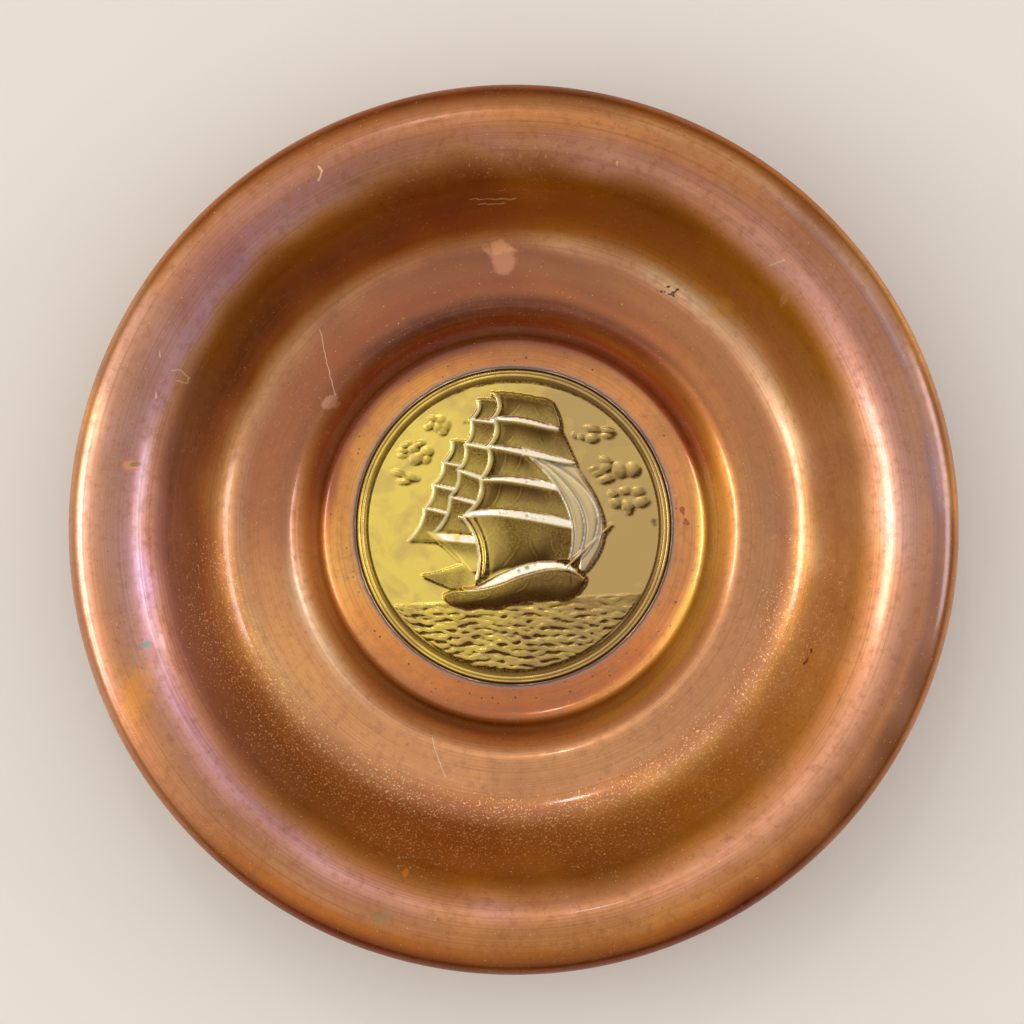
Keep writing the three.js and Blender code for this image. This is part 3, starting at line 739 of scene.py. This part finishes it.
def sail(lift, drop, strip, cord=1.0, ease_right=0.0, shape=billow, crown=0.0):
    """A billowing sail: a strip slopes up from its head to its crest, and from there it falls to its
    foot. The strip is pale with a painted highlight, and painted shade darkens the sail. strip gives
    the strip's width at a share across."""

    def height(u, v, from_left, from_top, from_right):
        wide = strip(u)
        tall = from_top / np.maximum(v, 0.01)
        ramp = np.clip(from_top / np.maximum(wide, 0.01), 0, 1)
        down = np.clip((from_top - wide) / np.maximum(tall - wide, 1), 0, 1)
        raised = lift + STRIP_SLOPE * np.minimum(from_top, wide) - drop * ease(0.15 + arch(u)) * shape(down)
        raised += crown * (arch(0.9 * u) - 1) * ease(from_top / 3)
        if cord:
            raised += corded_edge(from_left, cord) * (0.3 + 0.7 * ease(ramp))
        if ease_right:
            raised -= ease_right * (1 - ease(from_right / 2.5))
        # A painted highlight on the strip.
        pale = ease(ramp * 5) * (1 - ease((from_top - wide + 0.3) / 0.4)) * ease(wide / 0.7)
        # Painted shade: a sail darkens towards its top; a deep sail darkens towards its foot and right, with a
        # painted sheen in its middle.
        if shape is bag:
            glint = arch(np.clip(2.2 * u - 0.9, 0, 1)) * arch(down)
            brown = 0.4 + 0.6 * ease((u - 0.15) / 0.3) * (1 - 0.4 * glint)
        else:
            brown = 1 - 0.42 * ease(down / 0.9)
        brown = brown * ease((from_top - wide) / 0.5) * ease(from_left / 1.6)
        # A painted shadow line along the foot.
        brown = np.maximum(brown, ease((v - 0.9) / 0.06) * ease(arch(u) * 4)) * (1 - pale)
        # A painted highlight along the cord at the left edge.
        pale = np.maximum(pale, 0.75 * np.exp(-(((from_left - 0.3) / 0.35) ** 2)) * ease(from_left / 0.1))
        return raised, pale, np.clip(brown, 0, 1)

    return height


def tapered(width, cut=1.0, full=0.5):
    """The width of a strip that tapers to nothing at both ends, or is cut short at a share of its length."""
    return lambda u: width * arch(np.clip(u * cut, 0, 1)) ** full


# The square sails, by mast. Each yard has its left end, where neighbouring left edges meet, the place and
# height of its crown, and how fast it falls to the right of that.
def yard(left, crown, fall):
    """The line of a sail's head: y for x."""
    climb = (crown[1] - left[1]) / max(crown[0] - left[0], 1) ** 2

    def line(x):
        before, after = np.clip(crown[0] - x, 0, 99), np.clip(x - crown[0], 0, 99)
        return crown[1] - climb * before**2 - fall * after**1.5

    return line


def between(top, foot, bow, low=1.0):
    """A line from top to foot that bows out to the right."""

    def line(y):
        t = np.clip((top[1] - y) / (top[1] - foot[1]), 0, 1)
        return top[0] + (foot[0] - top[0]) * t + bow * arch(t**low)

    return line


def square_sails(yards, right, bulge, sails):
    """The sails of a mast, the lowest first, because each foot hangs over the head below it."""
    for i in reversed(range(len(yards) - 1)):
        head, foot = yards[i], yards[i + 1]
        tuck = 0.35 if i else 0
        leech = right[i] if isinstance(right, list) else right
        top, low = yard(*head), yard(*foot)
        luff = between((head[0][0] + tuck, head[0][1] + tuck), foot[0], bulge)
        lay(luff, leech, lambda x: top(x) + tuck, low, sails[i])


INNER = between((4.6, 25.8), (19.3, -12.6), 7)
MIZZEN = [
    ((-22.7, 30.9), (-20.5, 31.0), 0.05), ((-26, 22.8), (-24, 23.0), 0.06),
    ((-29.7, 14.7), (-28, 14.8), 0.06), ((-32.6, 6.2), (-30.5, 6.5), 0.08),
    ((-38.4, -5.5), (-37, -5.4), 0.01),
]
MAIN = [
    ((-13.4, 45.6), (-11.5, 45.8), 0.03), ((-16.4, 38.2), (-13.5, 38.6), 0.03),
    ((-18.3, 29.0), (-15.5, 29.7), 0.06), ((-20.8, 20), (-19.5, 20.1), 0.1),
    ((-23.6, 10.5), (-22, 10.6), 0.07), ((-28.8, -2.2), (-27, -2.0), 0.02),
]
FORE = [
    ((-8.2, 48.0), (-5, 48.1), 0.036), ((-8.4, 38.7), (0, 39.4), 0.066), ((-10.4, 28.4), (-5, 28.9), 0.045),
    ((-12.8, 16.7), (-3, 18.0), 0.037), ((-17.7, 4.3), (-6, 6.4), 0.03),
]

none = tapered(0)
THIRD_SPAN = (-9.8, 22)


def third_strip(x):
    return tapered(2.4, 1, 0.6)((x - THIRD_SPAN[0]) / (THIRD_SPAN[1] - THIRD_SPAN[0]))


mizzen_sails = [sail(0.6, 0.5, none, 0.75)]
mizzen_sails += [sail(0.35, 0.5, tapered(width, 0.8), 0.75) for width in (1.2, 1.3, 1.2)]
main_sails = [sail(0.8, 0.6, none, 0.8)]
main_sails += [sail(0.5, 0.65, tapered(width, 0.8), 0.8) for width in (1.4, 1.5, 1.6, 1.4)]
fore_sails = [
    sail(1.6, 1.2, none, 1.0, 0.7),
    sail(0.95, 1.4, tapered(2.2), 1.0, 0.5),
    sail(0.95, 1.45, lambda u: third_strip(x)),
    sail(0.95, 1.5, tapered(2.6, 0.62)),
]
square_sails(MIZZEN, lambda y: -14 - 0.29 * (31 - y), 1.6, mizzen_sails)
square_sails(MAIN, lambda y: -2.5 - 0.2 * (45 - y), 1.7, main_sails)


# The gaff sails over the stern.
def crossjack(u, v, from_left, from_top, from_right):
    # A painted highlight on the strip under the gaff, and painted shade on the sail below it.
    band = ease((from_top - 0.4) / 0.3) * (1 - ease((from_top - 2.6) / 0.3)) * ease((u - 0.1) / 0.15)
    band *= 1 - np.exp(-(((x + 20.3) / 0.9) ** 2))
    raised = 0.35 + STRIP_SLOPE * np.clip(from_top - 0.4, 0, 2.2) * ease(u / 0.3)
    raised -= 0.5 * ease((from_top - 2.6) / 8)
    raised += 0.4 * np.exp(-((from_left / 0.45) ** 2)) * ease(from_top / 1.5)
    return raised, band, 0.8 * (1 - band) * ease((from_top - 2.6) / 0.5) * (1 - ease((from_top - 4) / 5))


def spanker(u, v, from_left, from_top, from_right):
    raised = 0.3 + 0.45 * arch(0.2 + 0.6 * v) * (1 - u) ** 0.5 + 0.22 * np.exp(-((from_top / 0.35) ** 2))
    raised += 0.16 * ease(u * 3) * (1 - u) * np.sin(u * 24) * arch(v)
    # Painted shade over the sail, fading out at its top and at its right edge.
    return raised, 0 * u, 0.6 * ease(v / 0.3) * ease((1 - u) / 0.3)


COURSE_LEFT = between((-20.4, 3.8), (-14.2, -21), 4.3, 0.8)
lay(lambda y: -33 + 0 * y, lambda y: COURSE_LEFT(y) + 0.6,
    lambda x: -17.2 + 0.035 * (x + 33) ** 2 - 0.0012 * (x + 33) ** 3,
    lambda x: -17.8 - 0.42 * np.minimum(x + 33, 11), spanker)
lay(lambda y: -30.3 + 1.1 * (-2.8 - y), lambda y: COURSE_LEFT(y) + 0.6,
    lambda x: -2.0 - 0.09 * (x + 29), lambda x: -16 + 0 * x, crossjack)


# The fore course, the deep lowest sail, and the four sails above it.
def fore_leech(y):
    return 16.6 + 0.47 * np.maximum(0, 35 - y) - 0.03 * np.maximum(0, y - 35) ** 2


lay(COURSE_LEFT, lambda y: INNER(y) + 0.3, yard(*FORE[4]), lambda x: -12 - 0.0079 * (x - 17) ** 2,
    sail(1.0, 1.9, tapered(3.0, 0.62), 1.9, 0, bag, 0.5))
square_sails(FORE, [fore_leech, fore_leech, INNER, INNER], 2.4, fore_sails)


# The headsails: crescents between neighbouring stays, which run from under the third fore sail's head.
def headsail(step):
    def height(u, v, from_left, from_top, from_right):
        raised = 1.25 - 0.25 * step + 0.6 * arch(u) * arch(0.1 + 0.8 * v)
        raised += 0.4 * np.exp(-((from_left / 0.35) ** 2)) - 0.28 * np.exp(-(((from_left - 0.8) / 0.35) ** 2))
        if step == 2:
            raised -= 0.6 * (1 - ease(from_right / 2.0))
        # A painted highlight along the cord at the left edge and faintly over the whole sail, and a painted
        # shadow just inside the cord.
        pale = 0.2 + 0.6 * np.exp(-((from_left / 0.4) ** 2))
        brown = 0.8 * np.exp(-(((from_left - 1.1) / 0.5) ** 2))
        return raised * (0.8 + 0.2 * ease(from_top / 6)), pale, brown

    return height


STAYS = [
    INNER,
    between((4.8, 25.6), (21.6, -12.4), 10.4),
    between((5.4, 25.4), (23.8, -11.6), 14.4, 0.92),
    between((20.9, 25), (25.5, -16.5), 8.6, 1.28),
]
STAY_FEET = [-12.6, -12.4, -11.6, -16.5]
third_head = yard(*FORE[2])
for i in (2, 1, 0):
    lay(STAYS[i], STAYS[i + 1], lambda x: third_head(x) - third_strip(x),
        lambda x, i=i: STAY_FEET[i + 1] + 0.5 + 0 * x, headsail(i))
lay(lambda y: 3.0 + 0 * y, fore_leech, lambda x: third_head(x) + 0.35,
    lambda x: third_head(x) - third_strip(x) - 0.1, sail(0.8, 0.0, lambda u: third_strip(x), 0))

# The hull by its stations from stern to bow: x, the top of the bulwark, the deck line and the waterline.
HULL_STATIONS = np.array([
    (-25.2, -23.9, -24.3, -26.4), (-21, -22.4, -23, -28.9), (-13.3, -21.5, -22.8, -29.3),
    (-5.3, -17.4, -21, -29), (3, -14, -17.8, -27.1), (11.5, -12.5, -15.6, -26.3),
    (18.4, -13.2, -15.2, -26.2), (22.6, -15.4, -16.5, -24.2), (25.4, -17.8, -18.3, -20.2),
])


def hull_line(column):
    line = smooth_line(HULL_STATIONS[:, [0, column]])
    return lambda x: np.interp(x, line[:, 0], line[:, 1])


rail, deck, waterline = hull_line(1), hull_line(2), hull_line(3)


def hull_side(u, v, from_left, from_top, from_right):
    ends = np.clip(arch(0.03 + 0.94 * u), 0, 1) ** 0.4
    gunwale = 0.34 * np.exp(-(((from_top - 0.3) / 0.3) ** 2))
    gunwale -= 0.3 * np.exp(-(((from_top - 0.95) / 0.28) ** 2))
    gunwale += 0.14 * np.exp(-(((from_top - 1.6) / 0.3) ** 2))
    # Painted shade over the hull's side, darker towards the waterline and in the groove under the gunwale, with
    # none along its top edge.
    brown = 0.85 + 0.15 * ease((v - 0.4) / 0.3) + 0.2 * np.exp(-(((from_top - 0.95) / 0.25) ** 2))
    brown *= ease((from_top - 0.4) / 0.3)
    return 0.3 + 2.3 * ends * (1 - 0.12 * v - 0.8 * v**3) + gunwale, 0 * u, np.clip(brown, 0, 1)


def bulwark(u, v, from_left, from_top, from_right):
    wide = np.maximum(rail(x) - deck(x), 0.1)
    raised = 2.1 - STRIP_SLOPE * (wide - from_top)
    # A painted highlight on the bulwark's sloping strip.
    return raised, ease(from_top / 0.4) * (1 - ease((v - 0.88) / 0.12)) * ease(arch(u) * 5), 0 * u


lay(lambda y: -18 + 0 * y, lambda y: 23 + 0 * y, rail, lambda x: deck(x) - 0.1, bulwark)
lay(lambda y: -25.2 + 0 * y, lambda y: 25.4 + 0 * y, deck, waterline, hull_side)

# The bowsprit, a spar that points up to the right.
near, along = distance_to([(18.6, -14.8), (26.9, -6.9), (35.2, 1)])
spar = np.sqrt(np.clip(1 - (near / (0.85 - 0.5 * along)) ** 2, 0, 1)) * (1.5 - 0.9 * along)
shown = (near < 0.85 - 0.5 * along) & (along > 0) & (along < 1)
relief[shown] = np.maximum(relief, 1.2 * (1 - along) + spar)[shown]

# Seams of the cloths, the hull's planks and the stem: thin ridges in shallow furrows.
SEAMS = [
    # points along each
    [(2.3, 43.6), (0.3, 41.0), (-1.3, 39.9)], [(7.4, 42.6), (8.6, 40.4), (9.9, 38.4)],
    [(0.1, 32.6), (-0.6, 31.4), (-1.9, 30.2)], [(9.3, 31.2), (10.2, 29.7)],
    [(-2.7, 26.6), (-3.2, 22.8), (-5.2, 18.2)], [(2.9, 25.8), (2.2, 22.6), (-0.1, 18.2)],
    [(-4.6, 15.4), (-5.6, 11.0), (-7.8, 6.9)], [(3.0, 14.8), (1.8, 10.6), (-1.6, 6.8)],
    [(11.2, 11.4), (12.2, 8.8), (12.9, 6.6)],
    [(-4.9, 4.6), (-6.7, -1.6), (-11.4, -6.1)], [(2.3, -2.4), (0.9, -8.2), (-4.1, -15.0)],
    [(6.3, -1.6), (6.0, -6.6), (8.4, -11.2)], [(13.2, -2.4), (13.9, -7.6), (15.9, -11.2)],
    [(-7.5, -22.5), (-9.6, -25.2), (-13.6, -26.4)], [(5.4, -18.9), (4.0, -21.6), (0.6, -23.9)],
    [(9.2, -18.2), (12.2, -18.8), (15.4, -16.9)],
]
for seam in SEAMS:
    near, along = distance_to(seam)
    ends = ease(arch(along) * 3)
    relief += ends * (0.26 * np.exp(-((near / 0.26) ** 2)) - 0.12 * np.exp(-((near / 0.7) ** 2)))
near, along = distance_to([(20.2, -15.2), (20.6, -20.5)])
relief -= 0.2 * np.exp(-((near / 0.3) ** 2))

# Small pits, filled with dirt.
PITS = [
    # place and reach
    (4.8, -14.6, 0.9), (1.9, -15.8, 0.6), (7.7, -13.8, 0.35), (-4.2, -18.4, 0.3), (4.8, 3.9, 0.6),
    (6.8, 2.9, 0.3), (8.0, 2.8, 0.35), (10.9, 2.7, 0.35), (-4.7, 4.9, 0.4), (-3.6, 4.7, 0.3),
    (-2.2, 4.9, 0.3), (4.8, 16.0, 0.45), (4.6, 27.1, 0.4), (-17.5, 37.2, 0.7), (-15.9, 37.2, 0.6),
    (50.3, 1.9, 1.1), (50.6, 0.6, 0.8), (-36.5, 22.4, 0.35),
]
for px, py, reach in PITS:
    dent = np.exp(-(((x - px) / reach) ** 2 + ((y - py) / (0.8 * reach)) ** 2) ** 1.5)
    relief -= 0.25 * dent
    painted_highlight *= 1 - dent
    shade_and_dirt = np.maximum(shade_and_dirt, dent)

# The clouds: heaps of low puffs, each at (x, y), with its reach across and up.
CLOUDS = [
    [(-30.3, 36.2, 1.7, 1.4), (-29.3, 38.8, 1.9, 0.9), (-26.5, 38.3, 2.2, 1.5), (-27.3, 35.6, 1.7, 1.5),
     (-24.6, 36.2, 1.9, 2.0), (-25.6, 34.0, 1.6, 1.0)],
    [(-38.7, 29.3, 1.9, 0.9), (-34.0, 29.6, 1.9, 1.1), (-36.0, 27.8, 1.9, 1.2), (-31.2, 27.1, 2.0, 1.5),
     (-40.2, 27.1, 1.8, 0.8), (-40.2, 25.5, 1.6, 0.7), (-34.9, 24.3, 2.4, 2.0), (-31.5, 24.0, 1.5, 1.3)],
    [(-41.0, 19.1, 2.8, 1.0), (-37.3, 17.8, 3.2, 1.2), (-39.6, 16.1, 2.5, 0.9)],
    [(28.0, 35.2, 3.2, 1.1), (33.7, 34.6, 2.5, 0.9), (33.3, 32.7, 2.3, 0.8), (28.0, 31.7, 2.4, 1.4),
     (21.4, 32.8, 0.9, 1.0), (24.2, 32.2, 1.3, 0.7)],
    [(32.8, 23.9, 2.3, 1.1), (28.4, 20.6, 1.8, 0.8), (29.9, 19.1, 1.9, 0.9), (33.2, 21.4, 2.0, 1.6),
     (33.0, 17.0, 3.0, 1.2), (37.8, 20.3, 2.6, 2.6), (42.5, 20.5, 2.5, 2.4)],
    [(35.2, 11.7, 1.7, 1.3), (39.7, 12.8, 2.5, 1.2), (44.3, 12.6, 2.6, 1.5), (36.4, 8.5, 2.3, 1.7),
     (40.6, 7.3, 2.0, 2.0), (45.7, 8.8, 2.7, 1.7), (40.9, 5.2, 1.3, 0.9)],
]
chance = np.random.default_rng(5)
for cloud in CLOUDS:
    for px, py, rx, ry in cloud:
        rise, lean = chance.uniform(0.3, 0.65), chance.uniform(-0.25, 0.25)
        d = ((x - px) / (1.15 * rx)) ** 2 + ((y - py - lean * (x - px)) / (1.15 * ry)) ** 2
        relief = np.maximum(relief, rise * np.clip(1 - d, 0, 1) ** 0.7)
        # Painted shade on the south-east side of each puff.
        shade_and_dirt = np.maximum(shade_and_dirt, 0.7 * np.exp(-(((d - 0.5) / 0.5) ** 2)) * ease((x - px - y + py) / rx + 0.7))

# The sea: three trains of short broken waves that run across each other, steep on the near side. They lap
# the hull.
HORIZON = -26.4
SEA_CLIMB = 0.045
WAVES = [
    # how far they lean, crest to crest in mm, where they start, how high
    (0.08, 2.7, 0.0, 1.0), (-0.10, 3.1, 2.1, 0.95), (0.01, 2.1, 4.4, 0.7),
]
sea = np.zeros_like(x)
for lean, length, start, rise in WAVES:
    turn = 2 * np.pi * (y + lean * x) / length + 1.4 * np.sin(0.24 * x + start)
    turn += np.sin(0.5 * x - 0.3 * y + start) + 0.5 * np.sin(0.95 * x + 0.7 * y + 2 * start)
    broken = 0.6 + 0.4 * np.sin(0.52 * x + 0.9 * y + 3 * start) * np.sin(0.23 * x - 0.6 * y + start)
    sea = np.maximum(sea, rise * broken * (0.5 + 0.5 * np.sin(turn + 0.6 * np.cos(turn))) ** 1.6)
sea *= 0.5 + 0.5 * ease((HORIZON - y) / 6)
far_edge = HORIZON + SEA_CLIMB * x
water = ease((far_edge + 0.5 - y) / 0.8)
open_sea = (y < far_edge + 0.8) & (relief < 0.05)
relief = np.where(open_sea, np.maximum(relief, water * (sea + 0.05)), relief)
lap = (y < waterline(x) + 1.0) & (y > waterline(x)) & (np.abs(x) < 25.5) & (sea > 0.35)
relief = np.where(lap, np.maximum(1.2 * sea, np.minimum(relief, 0.9)), relief)
# Painted shade in the troughs, and a little over the whole sea.
trough_shade = water * (0.3 + 0.6 * ease((0.42 - sea) / 0.35))
shade_and_dirt = np.where(y < far_edge, np.maximum(shade_and_dirt, trough_shade), shade_and_dirt)

# The disc's own slight unevenness, and the rounding that stamping gives every edge.
relief += 0.05 * np.sin(0.11 * x + 0.4) * np.cos(0.13 * y - 0.6) + 0.03 * np.sin(0.21 * x - 0.17 * y)
RELIEF_ENDS, RELIEF_FADE = 50.6, 1.2
relief *= 1 - ease((np.hypot(x, y) - RELIEF_ENDS) / RELIEF_FADE)


def soften(values, cells):
    """values, blurred over a number of cells of the mesh."""
    reach = math.ceil(2.5 * cells)
    weights = np.exp(-0.5 * (np.arange(-reach, reach + 1) / cells) ** 2)
    weights /= weights.sum()
    for axis in (0, 1):
        padded = np.pad(values, [(reach, reach) if k == axis else (0, 0) for k in (0, 1)], mode="edge")
        size = values.shape[axis]
        values = sum(w * np.take(padded, range(k, k + size), axis=axis) for k, w in enumerate(weights))
    return values


relief = soften(relief, 0.55)
painted_highlight = soften(painted_highlight, 0.5)
shade_and_dirt = soften(shade_and_dirt, 0.8)
# Painted shadow: a place is shaded where it lies lower than what is just north-west of it, which darkens the
# south-east side of every raised shape.
SHADOW_DEPTH = 0.3
shadow_and_groove = np.clip((np.roll(soften(relief, 1.8), (-2, 2), axis=(0, 1)) - relief) / SHADOW_DEPTH, -1, 1)

grid = np.arange((CELLS + 1) ** 2).reshape(CELLS + 1, CELLS + 1)
points = np.stack([x, y, relief + DISC_FIELD], -1).reshape(-1, 3)
faces = np.stack([grid[:-1, :-1], grid[:-1, 1:], grid[1:, 1:], grid[1:, :-1]], -1).reshape(-1, 4).tolist()
rim = np.concatenate([grid[0, :-1], grid[:-1, -1], grid[-1, :0:-1], grid[:0:-1, 0]])
outward = points[rim, :2] / FIELD_EDGE
rings = [(r, DISC_FIELD + h) for r, h in BORDER] + [(DISC_RADIUS, EDGE_TOP), (DISC_RADIUS, DISC_FOOT)]
last, first_new = rim, len(points)
shadows_and_grooves, painted_highlights, shade_and_dirt_values = [shadow_and_groove.reshape(-1)], [painted_highlight.reshape(-1)], [shade_and_dirt.reshape(-1)]
# How brown the border is in its grooves, and how much painted shade darkens each ring of it, by radius.
GROOVES = [
    (51.8, 0.2), (52.3, 0.8), (52.9, 0.4), (53.6, 0), (54.2, -0.4), (54.85, 0.5), (55.4, -0.4), (56.0, 0.3),
    (56.4, 0.9),
]
SHADED_RINGS = [
    (51.8, 0), (52.6, 0.9), (53.2, 0.7), (53.9, 0.35), (54.3, 0), (54.9, 0.75), (55.5, 0.05), (56.1, 0.8),
    (56.6, 1),
]
for k, (r, z) in enumerate(rings):
    new = first_new + k * len(rim) + np.arange(len(rim))
    points = np.vstack([points, np.column_stack([outward * r, np.full(len(rim), z)])])
    a, b, c, d = last, np.roll(last, -1), np.roll(new, -1), new
    faces += np.stack([a, d, c, b], -1).tolist()
    shadows_and_grooves.append(np.full(len(rim), np.interp(r, *zip(*GROOVES))))
    painted_highlights.append(np.zeros(len(rim)))
    shade_and_dirt_values.append(np.full(len(rim), np.interp(r, *zip(*SHADED_RINGS))))
    last = new
points = np.vstack([points, [(0, 0, DISC_FOOT)]])
faces += [(len(points) - 1, int(b), int(a)) for a, b in zip(last, np.roll(last, -1))]
disc = mesh_object("stamped_brass_disc", (points + (0, DISC_CENTRE[1], 0)) * MM, faces)
for name, values in (("shadow_and_groove", shadows_and_grooves), ("painted_highlight", painted_highlights), ("shade_and_dirt", shade_and_dirt_values)):
    layer = disc.data.attributes.new(name, "FLOAT", "POINT")
    layer.data.foreach_set("value", np.append(np.concatenate(values), 0).astype(np.float32))

brass, tree, shader, place = new_metal("stamped_brass")
BRIGHT_BRASS = (1.0, 0.76, 0.16, 1)
TAN_BRASS = (0.58, 0.40, 0.15, 1)
SHADE_AND_DIRT_BRASS = (0.13, 0.06, 0.008, 1)
BROWN_SHADOW_AND_GROOVE = (0.07, 0.03, 0.008, 1)
PAINTED_HIGHLIGHT_PALE = (0.98, 0.92, 0.74, 1)
stain = cloudy(tree, place, 0.07, 5.0, Distortion=1.0)[0]
brass_mottle = cloudy(tree, place, 1.4, 4.0)[0]
east = add(tree, "ShaderNodeSeparateXYZ", None, {0: place}).outputs[0]
# Tan in patches, and more so towards the east.
tan_patches = spread(tree, stain, 0.42, 0.7, 0.0, 0.55)
tan_share = calc(tree, "ADD", tan_patches, spread(tree, east, -32, 30, 0.0, 0.9), True)
# Painted shade over the sails, hull, clouds, sea and the border's rings, and dirt in the pits, darken the
# brass.
shade_and_dirt_share = calc(tree, "MULTIPLY", painted(tree, "shade_and_dirt")["Fac"], spread(tree, brass_mottle, 0.25, 0.75, 1.0, 0.7))
# Painted shadow lines on the south-east sides of raised shapes, and the border's grooves, go brown.
brown = spread(tree, painted(tree, "shadow_and_groove")["Fac"], 0.05, 0.75)
brown = calc(tree, "MULTIPLY", brown, spread(tree, brass_mottle, 0.25, 0.6, 0.6, 1.0))
colour = tint(tree, tan_share, BRIGHT_BRASS, TAN_BRASS)
colour = tint(tree, shade_and_dirt_share, colour, SHADE_AND_DIRT_BRASS)
colour = tint(tree, brown, colour, BROWN_SHADOW_AND_GROOVE)
# Painted highlights make the strips, the cords and the bulwark pale.
colour = tint(tree, painted(tree, "painted_highlight")["Fac"], colour, PAINTED_HIGHLIGHT_PALE)
tree.links.new(colour, shader.inputs["Base Color"])
rough = calc(tree, "ADD", spread(tree, stain, 0.3, 0.7, 0.24, 0.32), calc(tree, "MULTIPLY", brown, 0.2))
tree.links.new(rough, shader.inputs["Roughness"])
disc.data.materials.append(brass)
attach(disc, "root")
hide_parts("brass_medallion")

size = {"solid": [list(corner) for corner in solid_box], "visual": [list(corner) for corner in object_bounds()]}
